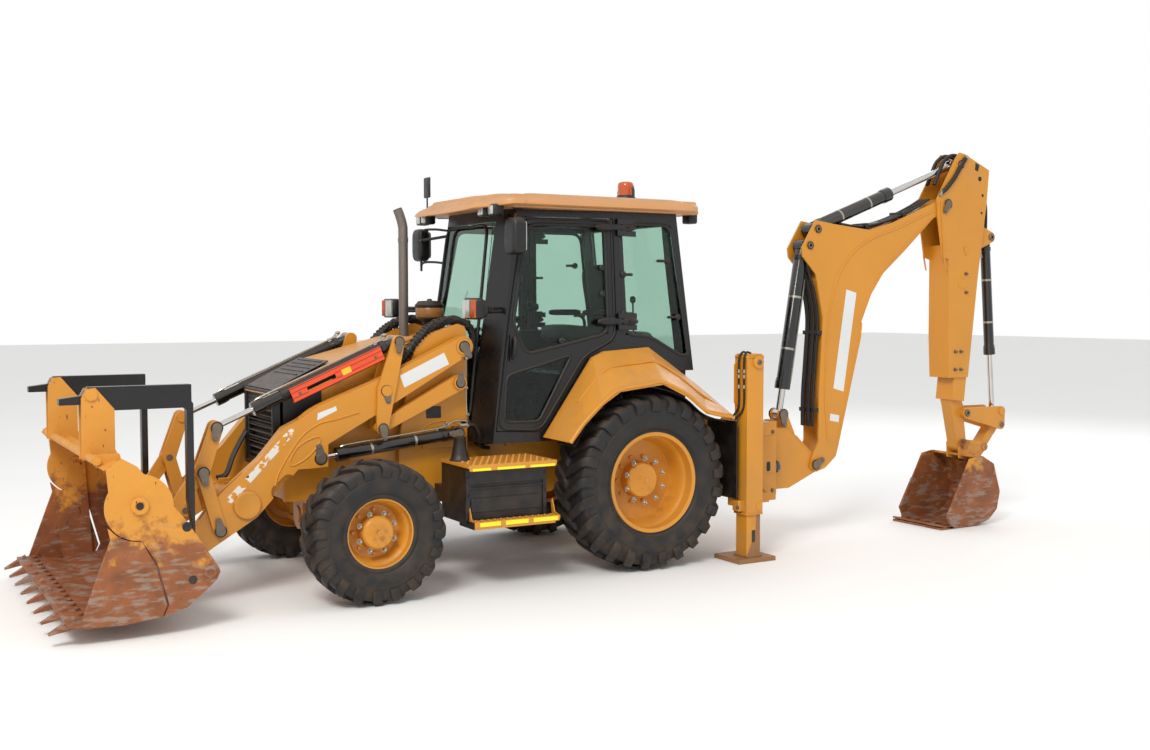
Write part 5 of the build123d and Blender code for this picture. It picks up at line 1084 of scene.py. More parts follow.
def lengthwise(start, end):
    """Unit vector from one pin to another, and the distance."""
    start, end = np.array(start, float), np.array(end, float)
    return (end - start) / np.linalg.norm(end - start), np.linalg.norm(end - start)


def cylinder_dress(name, base, eye, y, radius, barrel_end, body, line_side, lines=2):
    """Gland ring, end collar, clips and oil lines on a barrel that runs from its base pin to its eye."""
    way, _ = lengthwise(base, eye)
    heading = np.array((way[0], 0, way[1]))
    up = np.array((-way[1], 0, way[0])) * line_side
    origin = np.array((base[0], y, base[1]))
    dark = [turned([(-0.075, radius + 0.002), (-0.070, radius + 0.008), (-0.004, radius + 0.008),
            (0.0, radius + 0.004), (0.002, radius * 0.6)], origin + heading * barrel_end, heading, 36),
            turned([(0.085, radius + 0.002), (0.088, radius + 0.005), (0.125, radius + 0.005),
            (0.128, radius + 0.002)], origin, heading, 36)]
    piece(name + "_rings", dark, barrel_black, body)
    bright = [turned([(barrel_end * share - 0.009, radius + 0.0015),
            (barrel_end * share + 0.009, radius + 0.0015)], origin, heading, 36) for share in (0.36, 0.72)]
    for k in range(lines):
        out = up * (radius + 0.014) + np.array((0, 0.024 * (k - (lines - 1) / 2), 0))
        stop = barrel_end - 0.05 if k else barrel_end * 0.16
        start = origin + heading * 0.06 + out * 1.35
        path = eased([start, origin + heading * 0.11 + out, origin + heading * (stop * 0.5 + 0.06) + out,
                origin + heading * (stop - 0.03) + out, origin + heading * stop + up * radius * 0.9], 5)
        bright.append(along(path, 0.0065, 8))
        bright.append(turned([(-0.012, 0.011), (0.012, 0.011)], path[0], heading, 6))
        bright.append(turned([(0, 0.012), (0.02, 0.012), (0.024, 0.008)], path[-1] - up * 0.008, up, 6))
    piece(name + "_lines", bright, bright_zinc, body)


for side_name, flank in (("left", 1), ("right", -1)):
    y = flank * 0.480
    cylinder_dress("lift_barrel_" + side_name, (1.375, 1.075), (2.430, 0.952), y, 0.044, 0.940,
            "lift_barrels", 1)
    cylinder_dress("tilt_barrel_" + side_name, (1.855, 1.756), (3.148, 1.201), y, 0.042, 1.130,
            "tilt_barrels", 1)
    # rough sleeve round the tilt barrel
    way, reach = lengthwise((1.855, 1.756), (3.148, 1.201))
    heading = np.array((way[0], 0, way[1]))
    sleeve = [(0.16 + 0.012 * k, 0.0445 + 0.0012 * (k % 2)) for k in range(64)]
    piece("tilt_sleeve_" + side_name, [turned(sleeve, (1.855, y, 1.756), heading, 32)], hose_rubber,
            "tilt_barrels", 60)

channel_red = painted_steel("channel_red", tint(232, 78, 34), 0.12, 0.66, 0.35)
way, reach = lengthwise((1.855, 1.756), (3.148, 1.201))
heading, up = np.array((way[0], 0, way[1])), np.array((-way[1], 0, way[0]))
origin = np.array((1.855, 0.480, 1.756))
web = []
for low_edge, high_edge in ((-0.078, -0.044), (-0.012, 0.024)):
    corners = [(0.14, low_edge), (0.86, low_edge), (0.86, high_edge), (0.14, high_edge)]
    web.append(slab([tuple((origin + heading * a + up * b)[[0, 2]]) for a, b in corners], 0.532, 0.539,
            0.002))
for first, last in ((0.14, 0.52), (0.74, 0.86)):
    corners = [(first, -0.050), (last, -0.050), (last, -0.006), (first, -0.006)]
    web.append(slab([tuple((origin + heading * a + up * b)[[0, 2]]) for a, b in corners], 0.532, 0.539,
            0.002))
for level in (-0.078, 0.018):
    corners = [(0.14, level), (0.86, level), (0.86, level + 0.007), (0.14, level + 0.007)]
    web.append(slab([tuple((origin + heading * a + up * b)[[0, 2]]) for a, b in corners],
            0.470 if level > 0 else 0.500, 0.539, 0.002))
piece("lock_channel", web, channel_red, "tilt_barrels")
label_yellow = painted_steel("label_yellow", tint(236, 200, 40), 0.1, 0.8, 0.4)
corners = [(0.40, -0.050), (0.47, -0.050), (0.47, -0.008), (0.40, -0.008)]
piece("channel_label", [slab([tuple((origin + heading * a + up * b)[[0, 2]]) for a, b in corners], 0.539,
        0.5402, 0.0004)], label_yellow, "tilt_barrels")
latch = []
for a in (0.20, 0.80):
    place = origin + heading * a + up * -0.03
    latch += bolt((place[0], 0.539, place[2]), (0, 1, 0), 0.008, 0.008)
    latch.append(along([origin + heading * a + up * 0.028 + (0, 0.03, 0),
            origin + heading * a - up * 0.05 + (0, 0.052, 0)], 0.005, 8))
piece("channel_bolts", latch, pin_steel, "tilt_barrels")

# Hoses from the tower over the arm's pivot: a bundle wrapped in spiral guard, and smaller ones at the
# lift cylinder's foot. Steel tubes run down the tower's rear edge in clips.
for side_name, flank in (("left", 1), ("right", -1)):
    spine = eased([(1.83, flank * 0.400, 1.56), (1.74, flank * 0.400, 1.66), (1.62, flank * 0.395, 1.795),
            (1.50, flank * 0.39, 1.872), (1.36, flank * 0.385, 1.905), (1.245, flank * 0.38, 1.870),
            (1.19, flank * 0.38, 1.79), (1.20, flank * 0.38, 1.66)], 10)
    turn = np.arange(len(spine)) * 1.9
    bundle = [along(spine, 0.030 + 0.003 * np.sin(turn), 12)]
    for k in range(4):
        spread = np.stack([np.zeros(len(spine)), 0.022 * np.cos(turn * 0.08 + k * 1.57),
                0.022 * np.sin(turn * 0.08 + k * 1.57)], -1)
        bundle.append(along(spine + spread, 0.014, 8))
    fine = eased(spine[::6], 40)
    phase = np.linspace(0, 2 * np.pi * 34, len(fine))
    guard = fine + np.stack([0.034 * np.cos(phase) * 0.5, 0.034 * np.sin(phase),
            0.034 * np.cos(phase) * 0.87], -1)
    bundle.append(along(guard, 0.0055, 6))
    hose = [(1.32, flank * 0.545, 1.135), (1.26, flank * 0.55, 1.125), (1.215, flank * 0.545, 1.05),
            (1.19, flank * 0.50, 0.97), (1.10, flank * 0.46, 0.945)]
    bundle.append(along(eased(hose, 8), 0.014, 10))
    bundle.append(along(eased([(x + 0.03, y - flank * 0.035, z + 0.02) for x, y, z in hose], 8), 0.012, 10))
    piece("tower_hoses_" + side_name, bundle, hose_rubber, "chassis", 60)
    tubes = []
    for k in range(4):
        y = flank * (0.355 + 0.016 * k)
        tubes.append(along(eased([(1.262 - 0.004 * k, y, 1.72), (1.258, y, 1.60), (1.258, y, 1.32),
                (1.245, y, 1.18), (1.20, y, 1.09), (1.16, y, 1.02)], 6), 0.006, 8))
    for z in (1.62, 1.40, 1.20):
        tubes.append(round_box((1.262 if z > 1.3 else 1.25, flank * 0.38, z), (0.026, 0.08, 0.022), 0.004))
    tubes.append(along(eased([(1.47, flank * 0.535, 1.135), (1.43, flank * 0.54, 1.165),
            (1.33, flank * 0.54, 1.165), (1.31, flank * 0.54, 1.13)], 6), 0.008, 8))
    for x in (1.31, 1.345):
        tubes.append(turned([(0, 0.017), (0.03, 0.017), (0.034, 0.012)], (x, flank * 0.545, 1.13),
                (1, 0, 0.1), 6))
    piece("tower_tubes_" + side_name, tubes, bright_zinc, "chassis")
    ties = []
    for index in (12, 30, 50):
        heading = spine[index + 1] - spine[index]
        ties.append(turned([(-0.008, 0.042), (0.008, 0.042)], spine[index], heading, 18))
    piece("hose_ties_" + side_name, ties, black_plastic, "chassis")

# ------------------------------------------------------------------ steps, tank side and fenders
# Punched tread plates of yellow steel with reflective strips along their edges, over a black tank box.
# The punched teeth are raised collars. The fenders are pressed sheet with a rolled lip.
dress({"step_boxes": 0.003, "rear_fenders": 0.008})
recolour("step_boxes", black_plastic, (0.80, -1.03, 0.37), (1.57, 1.03, 0.889))
reflective = painted_steel("reflective_yellow", tint(248, 236, 30), 0.05, 0.85, 0.3)
for side_name, flank in (("left", 1), ("right", -1)):
    teeth = []
    for row, y in enumerate(np.arange(0.69, 1.10, 0.045)):
        for column, x in enumerate(np.arange(0.91, 1.56, 0.05)):
            teeth.append(turned([(0.0, 0.012), (0.005, 0.010), (0.005, 0.006), (0.0, 0.005)],
                    (x + 0.025 * (row % 2), flank * y, 0.910), (0, 0, 1), 10))
    for column in range(13):
        for y in (1.055, 1.10):
            teeth.append(turned([(0.0, 0.010), (0.005, 0.008), (0.005, 0.005), (0.0, 0.004)],
                    (0.90 + 0.05 * column, flank * y, 0.512), (0, 0, 1), 10))
    # folded front lips, and the curved straps that carry the lower step
    teeth.append(slab(rounded([(0.885, 0.912), (1.575, 0.912), (1.575, 0.868), (0.885, 0.868)], 0.015),
            flank * 1.113, flank * 1.119, 0.002))
    teeth.append(slab(rounded([(0.865, 0.514), (1.535, 0.514), (1.535, 0.474), (0.865, 0.474)], 0.01),
            flank * 1.122, flank * 1.128, 0.002))
    for x in (0.868, 1.532):
        strap = [(1.125, 0.514), (1.125, 0.476), (1.03, 0.476), (1.00, 0.60), (1.022, 0.62), (1.06, 0.53)]
        teeth.append(slab([(flank * y, z) for y, z in strap], x - 0.004, x + 0.004, 0.001, "x"))
    piece("tread_teeth_" + side_name, teeth, body_yellow, "chassis")
    strips = []
    for first, last in ((0.90, 1.10), (1.14, 1.36), (1.41, 1.55)):
        strips.append(slab([(first, 0.888), (last, 0.888), (last, 0.870), (first, 0.870)], flank * 1.119,
                flank * 1.1205, 0.0005))
    for first, last in ((0.88, 1.08), (1.12, 1.30), (1.34, 1.50)):
        strips.append(slab([(first, 0.509), (last, 0.509), (last, 0.479), (first, 0.479)], flank * 1.128,
                flank * 1.1295, 0.0005))
    piece("step_strips_" + side_name, strips, reflective, "chassis")
    tank = [round_box((1.24, flank * 1.024, 0.815), (0.60, 0.014, 0.11), 0.02),
            round_box((1.24, flank * 1.026, 0.735), (0.60, 0.018, 0.014), 0.004),
            round_box((1.24, flank * 1.024, 0.615), (0.56, 0.012, 0.10), 0.02)]
    for x in (0.935, 1.545):
        tank.append(round_box((x, flank * 1.024, 0.69), (0.03, 0.016, 0.36), 0.006))
        for z in (0.56, 0.69, 0.82):
            tank += bolt((x, flank * 1.030, z), (0, flank, 0), 0.007, 0.005)
    cone = [(0.908, 0.072), (0.916, 0.074), (0.924, 0.066), (0.96, 0.056), (1.02, 0.046), (1.06, 0.042),
            (1.068, 0.046), (1.078, 0.046), (1.084, 0.03)]
    tank.append(turned(cone, (1.500, flank * 0.80, 0), (0, 0, 1), 32))
    piece("tank_side_" + side_name, tank, black_plastic, "chassis")
    # fender: rolled lip and pressed crease; a black sheet under it and behind the wheel is painted shade of
    # the wheel arch
    lip = eased([(0.765, 1.105, 1.024), (0.655, 1.105, 1.160), (0.49, 1.105, 1.305), (0.345, 1.105, 1.393),
            (0.10, 1.105, 1.425), (-0.042, 1.105, 1.436), (-0.271, 1.105, 1.336), (-0.451, 1.105, 1.200),
            (-0.69, 1.105, 1.146)], 8) * (1, flank, 1)
    rim_line = [along(lip, 0.013, 10)]
    crease = eased([(0.60, 0.93, 1.30), (0.43, 0.93, 1.48), (0.30, 0.93, 1.552), (0.05, 0.93, 1.578),
            (-0.09, 0.93, 1.582), (-0.30, 0.93, 1.470), (-0.50, 0.93, 1.332), (-0.70, 0.93, 1.212)],
            8) * (1, flank, 1)
    rim_line.append(along(crease, 0.008, 8))
    piece("fender_lip_" + side_name, rim_line, body_yellow, "chassis")
    # painted shade: black sheets under the fender and behind the wheel stand for the shadow in the wheel arch
    arch_shade = []
    arch_curve = eased([(0.70, 0.99), (0.56, 1.20), (0.36, 1.36), (0.05, 1.405), (-0.25, 1.32), (-0.45, 1.18),
            (-0.66, 1.11)], 6)
    under = np.vstack([arch_curve, (arch_curve - (0, 0.006))[::-1]])
    arch_shade.append(slab(under, flank * 0.80, flank * 1.06, 0.001))
    arch_shade.append(slab(rounded([(-0.745, 0.50), (-0.745, 1.11), (-0.757, 1.11), (-0.757, 0.50)], 0.004),
            flank * 0.70, flank * 1.09, 0.002))
    piece("wheel_arch_shade_" + side_name, arch_shade, black_plastic, "chassis")

# ------------------------------------------------------------------ loader bucket, jaw and forks
# Welded plate worn to bare and rusty steel, with forged teeth bolted under the lip and weld beads
# along the side plates. The folding forks are black square bar.
worn = Recipe("worn_bucket")
yellow_left = worn.mix(worn.grain(0.4, 4), tint(218, 152, 54), tint(196, 130, 46))
rust = worn.mix(worn.grain(0.12, 6, shift=2.0), tint(74, 46, 34), tint(172, 100, 50))
low = worn.step(worn.height(), 0.95, 0.25, -0.16, 0.34)
rubbed = worn.step(worn.math("ADD", worn.grain(0.2, 7, rough=0.68, shift=4.0), low), 0.52, 0.64)
shade = worn.mix(rubbed, yellow_left, rust)
streak = worn.step(worn.math("ADD", worn.grain(0.03, 6, stretch=(4, 4, 1), shift=9.0),
        worn.math("MULTIPLY", low, 0.3)), 0.60, 0.72)
shade = worn.mix(worn.math("MULTIPLY", streak, 0.75), shade, tint(148, 132, 118))
mark = worn.step(worn.grain(0.02, 6, stretch=(1, 1, 3), shift=15.0), 0.66, 0.70)
shade = worn.mix(mark, shade, tint(64, 42, 32))
worn.wear(shade, worn.step(worn.grain(0.1, 4), 0.2, 0.8, 0.45, 0.8))
worn.relief((worn.grain(0.16, 4), 0.002), (worn.math("SUBTRACT", 1.0, rubbed), 0.0005),
        (worn.grain(0.005, 3), 0.0003))
worn_bucket = worn.material
dress({"bucket_back": 0.003, "bucket_jaw": 0.003}, worn_bucket)
dress({"loader_forks": 0.004}, cab_black)
for flank in (-1, 1):
    beads = []
    seam = eased([(3.655, 0.128), (3.540, 0.165), (3.455, 0.260), (3.434, 0.380), (3.454, 0.520),
            (3.524, 0.680), (3.640, 0.850), (3.780, 1.010), (3.885, 1.082)], 5)
    beads.append(along(np.column_stack([seam[:, 0] + 0.012, np.full(len(seam), flank * (1.133 - 0.004)),
            seam[:, 1] + 0.004]), 0.006, 6))
    beads.append(turned([(0, 0.052), (0.012, 0.052), (0.016, 0.048), (0.016, 0.030), (0.008, 0.026)],
            (3.778, flank * 1.168, 0.815), (0, flank, 0), 32))
    beads.append(turned([(0, 0.040), (0.010, 0.040), (0.013, 0.036), (0.013, 0.02), (0.006, 0.017)],
            (3.365, flank * 1.160, 0.372), (0, flank, 0), 28))
    piece("bucket_welds_" + ("left" if flank > 0 else "right"), beads, worn_bucket, "bucket")
    holes = [turned([(0, 0.030), (0.0012, 0.030)], (3.500, flank * 1.160, 0.665), (0, flank, 0), 24),
             turned([(0, 0.027), (0.0012, 0.027)], (3.470, flank * 1.160, 0.335), (0, flank, 0), 24),
             turned([(0.004, 0.026), (0.0095, 0.022)], (3.778, flank * 1.168, 0.815), (0, flank, 0), 24)]
    piece("bucket_holes_" + ("left" if flank > 0 else "right"), holes, black_plastic, "bucket")

lip_bolts = []
for k in range(16):
    y = -1.08 + 0.144 * k
    lip_bolts += bolt((4.085, y, 0.152), (-0.05, 0, 1), 0.015, 0.009)
piece("lip_bolts", lip_bolts, worn_bucket, "jaw")

# ------------------------------------------------------------------ stabilisers
# Square tubes with welded ears and a capped boss, each with a sliding leg. Hoses loop into the top,
# and the leg and its foot are scraped to brown steel.
dress({"stabiliser_housings": 0.004, "stabiliser_leg_left": 0.004, "stabiliser_leg_right": 0.004})
scraped = painted_steel("scraped_leg", tint(150, 104, 58), 0.5, 0.50, 0.5)
for side_name, flank in (("left", 1), ("right", -1)):
    x, y = -0.880, 1.070
    edge = flank * (y + 0.080)
    trim = [turned([(0, 0.048), (0.020, 0.048), (0.026, 0.040), (0.026, 0.030)], (x - 0.018, edge, 1.570),
            (0, flank, 0), 32)]
    trim.append(round_box((x, flank * y, 1.629), (0.150, 0.150, 0.012), 0.015, "z"))
    trim.append(round_box((x - 0.045, edge + flank * 0.002, 0.430), (0.055, 0.006, 0.06), 0.01))
    trim.append(round_box((x + 0.095, flank * (y - 0.01), 0.440), (0.05, 0.09, 0.09), 0.014))
    for z in (0.378, 1.610):
        ring = rounded([(x - 0.083, flank * y - 0.083), (x + 0.083, flank * y - 0.083),
                (x + 0.083, flank * y + 0.083), (x - 0.083, flank * y + 0.083)], 0.02)
        trim.append(along(np.column_stack([ring, np.full(len(ring), z)]), 0.006, 8, closed=True))
    trim.append(slab([(x + 0.078, 1.58), (x + 0.115, 1.55), (x + 0.115, 1.25), (x + 0.078, 1.22)],
            flank * (y - 0.05), flank * (y - 0.042), 0.002))
    piece("stabiliser_trim_" + side_name, trim, body_yellow, "chassis")
    faces, seals = pin_head(x - 0.018, edge + flank * 0.024, 1.570, flank, 0.022, 0, tab=False)
    piece("stabiliser_pin_" + side_name, faces + bolt((x + 0.118, flank * (y + 0.02), 0.43), (1, 0, 0),
            0.012, 0.01), pin_steel, "chassis")
    loops = []
    for k in (0, 1):
        sx = x + 0.092 + 0.012 * k
        sy = flank * (y + 0.055 - 0.05 * k)
        loops.append(along(eased([(x + 0.03, sy, 1.640), (x + 0.07, sy, 1.648), (sx, sy, 1.60),
                (sx + 0.004, sy, 1.45), (sx, sy, 1.30), (sx - 0.004, sy - flank * 0.02, 1.20),
                (sx + 0.02, sy - flank * 0.08, 1.12)], 8), 0.0085, 8))
    piece("stabiliser_hoses_" + side_name, loops, hose_rubber, "chassis", 60)
    joints = []
    for k in (0, 1):
        for z in (1.50, 1.46, 1.38):
            joints.append(turned([(-0.014, 0.011), (0.014, 0.011)],
                    (x + 0.0955 + 0.012 * k, flank * (y + 0.055 - 0.05 * k), z), (0, 0, 1), 6))
    piece("stabiliser_joints_" + side_name, joints, bright_zinc, "chassis")
    recolour("stabiliser_leg_" + side_name, scraped, (-3, -3, -1), (3, 3, 0.37))
    slot_rim = rounded([(x - 0.018, 0.150), (x + 0.018, 0.150), (x + 0.018, 0.250), (x - 0.018, 0.250)],
            0.016)
    leg_face = flank * (y + 0.0655)
    piece("leg_slot_" + side_name, [slab(slot_rim, leg_face, leg_face + flank * 0.002, 0.0005)],
            black_plastic, "stabiliser_" + side_name)
    foot = [along([(x + dx * 0.078, flank * y + dy * 0.078, 0.040),
            (x + dx * 0.070, flank * y + dy * 0.070, 0.050)], 0.01, 6) for dx in (-1, 1) for dy in (-1, 1)]
    ring = rounded([(x - 0.069, flank * y - 0.069), (x + 0.069, flank * y - 0.069),
            (x + 0.069, flank * y + 0.069), (x - 0.069, flank * y + 0.069)], 0.012)
    foot.append(along(np.column_stack([ring, np.full(len(ring), 0.040)]), 0.008, 8, closed=True))
    piece("foot_weld_" + side_name, foot, scraped, "stabiliser_" + side_name)

# ------------------------------------------------------------------ backhoe carriage and swing post
# The carriage, welded from plate, slides on two rails and carries the cast swing post, whose ears
# hold the boom's foot and the rod of its cylinder. The short swing barrels are bolted on at the sides.
hoe = 0.600
dress({"backhoe_carriage": 0.005, "swing_post": 0.006})
for flank in (1, -1):
    side_name = "left" if flank > 0 else "right"
    # the pin of the boom cylinder's rod, with its tab
    face, seal = pin_head(-1.562, hoe + flank * 0.068, 1.095, flank, 0.038, -95)
    piece("post_pins_" + side_name, face, pin_steel, "post", 30)
    piece("post_seals_" + side_name, seal, hose_rubber, "post", 30)
    # swing cylinder: short black barrel on the carriage
    barrels = [turned([(0, 0.045), (0.02, 0.052), (0.20, 0.052), (0.205, 0.058), (0.235, 0.058),
            (0.24, 0.03)], (-1.24, hoe + flank * 0.155, 0.665), (-1, -flank * 0.35, 0), 28)]
    piece("swing_barrel_" + side_name, barrels, barrel_black, "carriage")

post_ribs = [along(eased([(-1.52, hoe + 0.078, 0.985), (-1.60, hoe + 0.078, 0.968),
        (-1.70, hoe + 0.078, 0.895), (-1.885, hoe + 0.078, 0.715)], 5), 0.006, 8),
        along(eased([(-1.52, hoe - 0.078, 0.985), (-1.60, hoe - 0.078, 0.968), (-1.70, hoe - 0.078, 0.895),
        (-1.885, hoe - 0.078, 0.715)], 5), 0.006, 8)]
piece("post_ribs", post_ribs, body_yellow, "post")
carriage_trim = [round_box((-1.235, hoe + 0.272, 0.80), (0.14, 0.010, 0.30), 0.02),
        round_box((-1.235, hoe - 0.272, 0.80), (0.14, 0.010, 0.30), 0.02)]
for z in (0.60, 0.90):
    carriage_trim.append(round_box((-1.322, hoe + 0.17, z), (0.010, 0.12, 0.16), 0.015, "x"))
piece("carriage_plates", carriage_trim, body_yellow, "carriage")
holes = [slab(rounded([(-1.255, 0.66), (-1.215, 0.66), (-1.215, 0.74), (-1.255, 0.74)], 0.018), hoe + 0.277,
        hoe + 0.2782, 0.0004)]
carriage_bolts = []
for x in (-1.285, -1.185):
    for z in (0.50, 0.98):
        carriage_bolts += bolt((x, hoe + 0.270, z), (0, 1, 0), 0.013, 0.012)
piece("carriage_slot", holes, black_plastic, "carriage")
piece("carriage_bolts", carriage_bolts, pin_steel, "carriage")

# ------------------------------------------------------------------ backhoe boom
# A box section in bent and welded plate. Raised welds follow its curve on both cheeks, the pins of
# the cylinders show at its head, and two blank signs are stuck on.
dress({"backhoe_boom": 0.005})
for flank in (1, -1):
    side_name = "left" if flank > 0 else "right"
    edge = hoe + flank * 0.100
    line = eased([(-2.020, 0.86), (-1.985, 1.28), (-2.010, 1.80), (-2.045, 2.02), (-2.130, 2.28),
            (-2.290, 2.47), (-2.52, 2.60), (-2.78, 2.685), (-3.05, 2.79), (-3.24, 2.86)], 8)
    ribs = [along(np.column_stack([line[:, 0], np.full(len(line), edge), line[:, 1]]), 0.009, 8)]
    line = eased([(-2.13, 0.82), (-2.375, 1.74), (-2.385, 1.90), (-2.50, 2.14), (-2.65, 2.33),
            (-2.92, 2.55), (-3.22, 2.80)], 8)
    ribs.append(along(np.column_stack([line[:, 0], np.full(len(line), edge), line[:, 1]]), 0.007, 8))
    piece("boom_ribs_" + side_name, ribs, body_yellow, "boom")
    piece("boom_sign_" + side_name, [slab([(-2.215, 2.150), (-2.330, 2.120), (-2.195, 1.270),
            (-2.080, 1.300)], edge, edge + flank * 0.0012, 0.0004),
            slab([(-2.050, 1.085), (-2.150, 1.065), (-2.143, 1.005), (-2.043, 1.025)], edge,
            edge + flank * 0.0012, 0.0004)], label_white, "boom")
    steel, rubber = [], []
    for x, z, radius, way in ((-1.803, 2.518, 0.026, 60), (-1.888, 2.658, 0.026, 60),
            (-1.888, 0.655, 0.034, 150)):
        y = hoe + flank * (0.108 if z > 1 else 0.112)
        face, seal = pin_head(x, y, z, flank, radius, way, tab=z < 1)
        steel += face
        rubber += seal
    piece("boom_pins_" + side_name, steel, pin_steel, "boom", 30)
    piece("boom_seals_" + side_name, rubber, hose_rubber, "boom", 30)

# ------------------------------------------------------------------ hoses on the boom
# Rubber hoses climb the boom's front face in moulded clamps, and run along its back to the knee. Four
# plated steel pipes take them over the bend.
front = eased([(-1.880, hoe, 0.98), (-1.880, hoe, 1.25), (-1.905, hoe, 1.60), (-1.920, hoe, 1.90),
        (-1.880, hoe, 2.12), (-1.825, hoe, 2.27), (-1.80, hoe, 2.36)], 8)
bundle = []
for k in range(5):
    out = np.array((0.012 * (k % 2), 0.034 * (k - 2), 0))
    bundle.append(along(front + out, 0.0135, 8))
for k in range(5):
    y = hoe + 0.030 * (k - 2)
    top = eased([(-2.18, y, 2.705 + 0.01 * (k % 2)), (-2.45, y, 2.70), (-2.75, y, 2.765),
            (-3.05, y, 2.880 + 0.01 * (k % 2)), (-3.22, y, 2.965)], 8)
    bundle.append(along(top, 0.012, 8))
piece("boom_hoses", bundle, hose_rubber, "boom", 60)
clamps = [round_box((-1.893, hoe, 1.12), (0.05, 0.20, 0.035), 0.006),
        round_box((-1.925, hoe, 1.78), (0.05, 0.20, 0.035), 0.006),
        round_box((-2.46, hoe, 2.705), (0.035, 0.18, 0.045), 0.006),
        round_box((-2.90, hoe, 2.815), (0.035, 0.18, 0.05), 0.006)]
piece("hose_clamps", clamps, black_plastic, "boom")
pipes = []
for k in range(4):
    y = hoe + 0.022 * (k - 1.5)
    pipes.append(along(eased([(-2.30, y, 2.690), (-2.42, y, 2.688), (-2.60, y, 2.722)], 6), 0.007, 8))
    pipes.append(turned([(-0.02, 0.014), (0.02, 0.014)], (-2.62, y, 2.728), (-1, 0, 0.28), 6))
piece("boom_pipes", pipes, bright_zinc, "boom")

# ------------------------------------------------------------------ backhoe stick and extension
# The stick is a tapering box in which the extension slides. Screws press wear pads on it, and the
# guide links and bucket link hang on plain pins at its foot.
dress({"backhoe_stick": 0.004, "stick_extension": 0.004, "bucket_guide_links": 0.003, "bucket_link": 0.004})
for flank in (1, -1):
    side_name = "left" if flank > 0 else "right"
    steel, rubber = [], []
    for x, z, radius, way, tab, y in ((-3.392, 2.925, 0.034, -60, True, 0.132),
            (-3.546, 3.286, 0.030, 0, False, 0.130)):
        face, seal = pin_head(x, hoe + flank * y, z, flank, radius, way, tab)
        steel += face
        rubber += seal
    # wear pad screws in pairs down the stick, with their lock nuts
    for x, z in ((-3.590, 1.589), (-3.592, 1.426), (-3.640, 2.300), (-3.645, 2.130), (-3.52, 1.589),
            (-3.52, 1.426)):
        steel += bolt((x, hoe + flank * 0.120, z), (0, flank, 0), 0.013, 0.014)
        steel.append(turned([(0, 0.007), (0.030, 0.007)], (x, hoe + flank * 0.120, z), (0, flank, 0), 10))
    piece("stick_pins_" + side_name, steel, pin_steel, "stick", 30)
    piece("stick_seals_" + side_name, rubber, hose_rubber, "stick", 30)
    plates = [slab([(-3.300, 2.95), (-3.345, 2.46), (-3.380, 2.33), (-3.392, 2.335), (-3.360, 2.47),
            (-3.318, 2.93)], hoe + flank * 0.120, hoe + flank * 0.128, 0.002),
            turned([(0, 0.055), (0.004, 0.055), (0.008, 0.050), (0.008, 0.044), (0.004, 0.040)],
            (-3.600, hoe + flank * 0.119, 2.215), (0, flank, 0), 30),
            slab([(-3.60, 2.545), (-3.66, 2.535), (-3.635, 2.465)], hoe + flank * 0.120,
            hoe + flank * 0.127, 0.002)]
    piece("stick_plates_" + side_name, plates, body_yellow, "stick")
    dark = [turned([(0, 0.022), (0.0012, 0.022)], (-3.80, hoe + flank * 0.120, 3.17), (0, flank, 0), 20),
            turned([(0, 0.014), (0.0012, 0.014)], (-3.84, hoe + flank * 0.120, 3.02), (0, flank, 0), 16),
            turned([(0, 0.012), (0.0012, 0.012)], (-3.83, hoe + flank * 0.120, 2.86), (0, flank, 0), 16),
            slab([(-3.74, 3.315), (-3.79, 3.297), (-3.775, 3.235), (-3.735, 3.248)], hoe + flank * 0.120,
            hoe + flank * 0.1212, 0.0004)]
    piece("stick_holes_" + side_name, dark, black_plastic, "stick")
    steel = []
    for x, z, out in ((-4.010, 2.645, 0.084), (-3.690, 1.020, 0.124)):
        face, seal = pin_head(x, hoe + flank * out, z, flank, 0.026, 30, tab=False)
        steel += face + seal
    piece("extension_pins_" + side_name, steel, pin_steel, "extension", 30)
    steel = pin_head(-4.145, hoe + flank * 0.124, 0.894, flank, 0.026, 100, tab=False)[0]
    piece("link_pins_" + side_name, steel, pin_steel, "guide_links", 30)

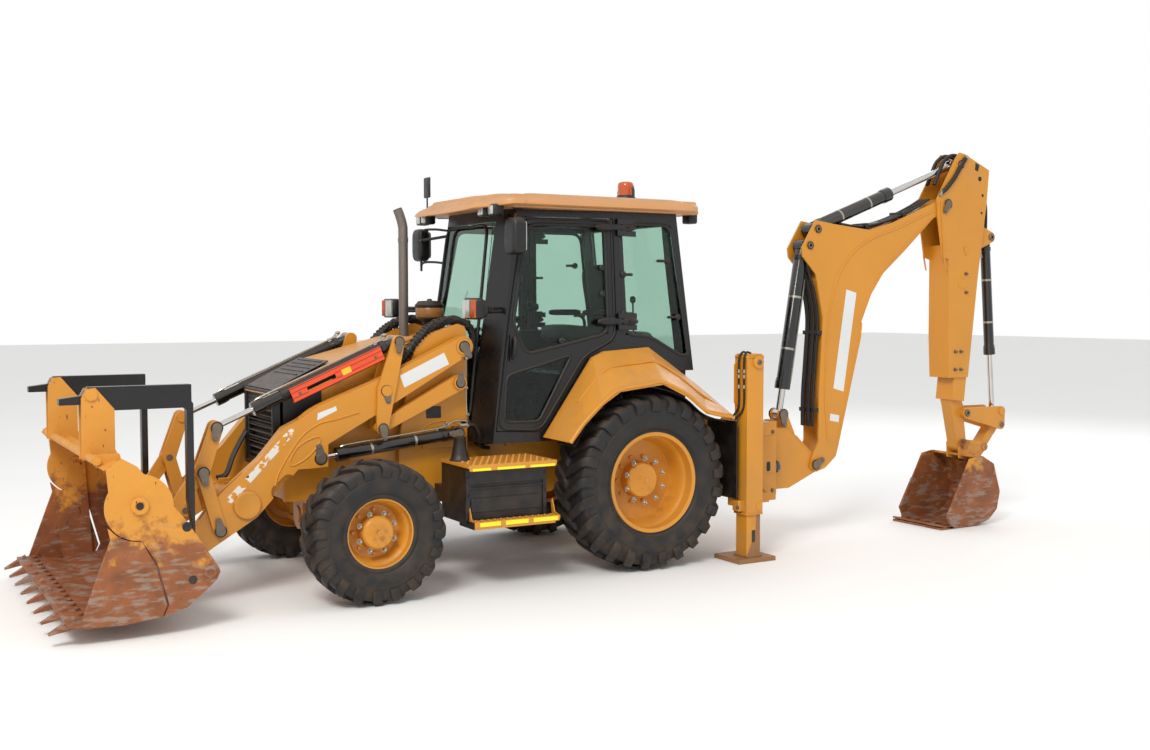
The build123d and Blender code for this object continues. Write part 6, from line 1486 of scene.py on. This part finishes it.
# Hoses looped over the stick's head, one of them outside the cheek, with crimped steel ends.
knee = []
for k in range(3):
    y = hoe + (0.132 if k == 0 else 0.045 * (1 if k == 1 else -1))
    if k == 0:
        path = [(-3.30, y, 3.02), (-3.36, y, 3.06), (-3.46, y, 3.16), (-3.54, y, 3.27), (-3.60, y, 3.345)]
        knee.append(along(eased(path, 8), 0.020, 10))
    else:
        path = [(-3.30, y, 3.10), (-3.36, y, 3.22), (-3.42, y, 3.32), (-3.52, y, 3.375), (-3.64, y, 3.36),
                (-3.74, y, 3.31)]
        knee.append(along(eased(path, 8), 0.017, 10))
down = [(-3.90, hoe + 0.04, 3.10), (-3.955, hoe + 0.05, 2.95), (-3.965, hoe + 0.05, 2.75),
        (-3.955, hoe + 0.05, 2.60)]
knee.append(along(eased(down, 8), 0.014, 8))
piece("knee_hoses", knee, hose_rubber, "stick", 60)
ends = []
for x, z in ((-3.605, 3.35), (-3.298, 3.018)):
    ends.append(turned([(-0.03, 0.015), (-0.01, 0.015), (-0.01, 0.019), (0.02, 0.019)], (x, hoe + 0.132, z),
            (-0.6, 0, 0.8), 6))
piece("knee_hose_ends", ends, bright_zinc, "stick")

# ------------------------------------------------------------------ backhoe cylinders
# The same honed black barrels and chromed rods as on the loader, with steel oil lines along them.
# The line side is the side of the barrel that the lines lie on.
dress({"boom_barrel": 0.003, "stick_barrel": 0.003, "bucket_barrel": 0.003}, barrel_black)
dress({"boom_rod": None, "stick_rod": None, "bucket_rod": None}, rod_chrome)
cylinder_dress("boom_barrel_lines", (-1.803, 2.518), (-1.562, 1.095), hoe, 0.058, 1.230, "boom_barrel", -1)
cylinder_dress("stick_barrel_lines", (-1.888, 2.658), (-3.546, 3.286), hoe, 0.055, 0.960, "stick_barrel", 1,
        1)
cylinder_dress("bucket_barrel_lines", (-4.010, 2.645), (-4.144, 1.021), hoe, 0.046, 1.100, "bucket_barrel",
        1, 1)

# ------------------------------------------------------------------ backhoe bucket
# Worn plate like the loader bucket. A straight steel lip is welded on, with five wear blocks over it
# and a cutter plate on each side.
dress({"backhoe_bucket": 0.003}, worn_bucket)
lip = [slab([(-3.345, -0.0), (-3.185, 0.030), (-3.185, 0.046), (-3.345, 0.020)], hoe - 0.300, hoe + 0.300,
        0.002)]
for flank in (-1, 1):
    y = hoe + flank * 0.300
    lip.append(slab([(-3.305, 0.040), (-3.262, 0.125), (-3.415, 0.395), (-3.455, 0.385), (-3.33, 0.16)], y,
            y + flank * 0.008, 0.002))
for k in range(5):
    y = hoe - 0.24 + 0.12 * k
    lip.append(slab([(-3.36, 0.021), (-3.26, 0.034), (-3.26, 0.050), (-3.36, 0.036)], y - 0.03, y + 0.03,
            0.003))
piece("hoe_lip", lip, worn_bucket, "hoe_bucket")
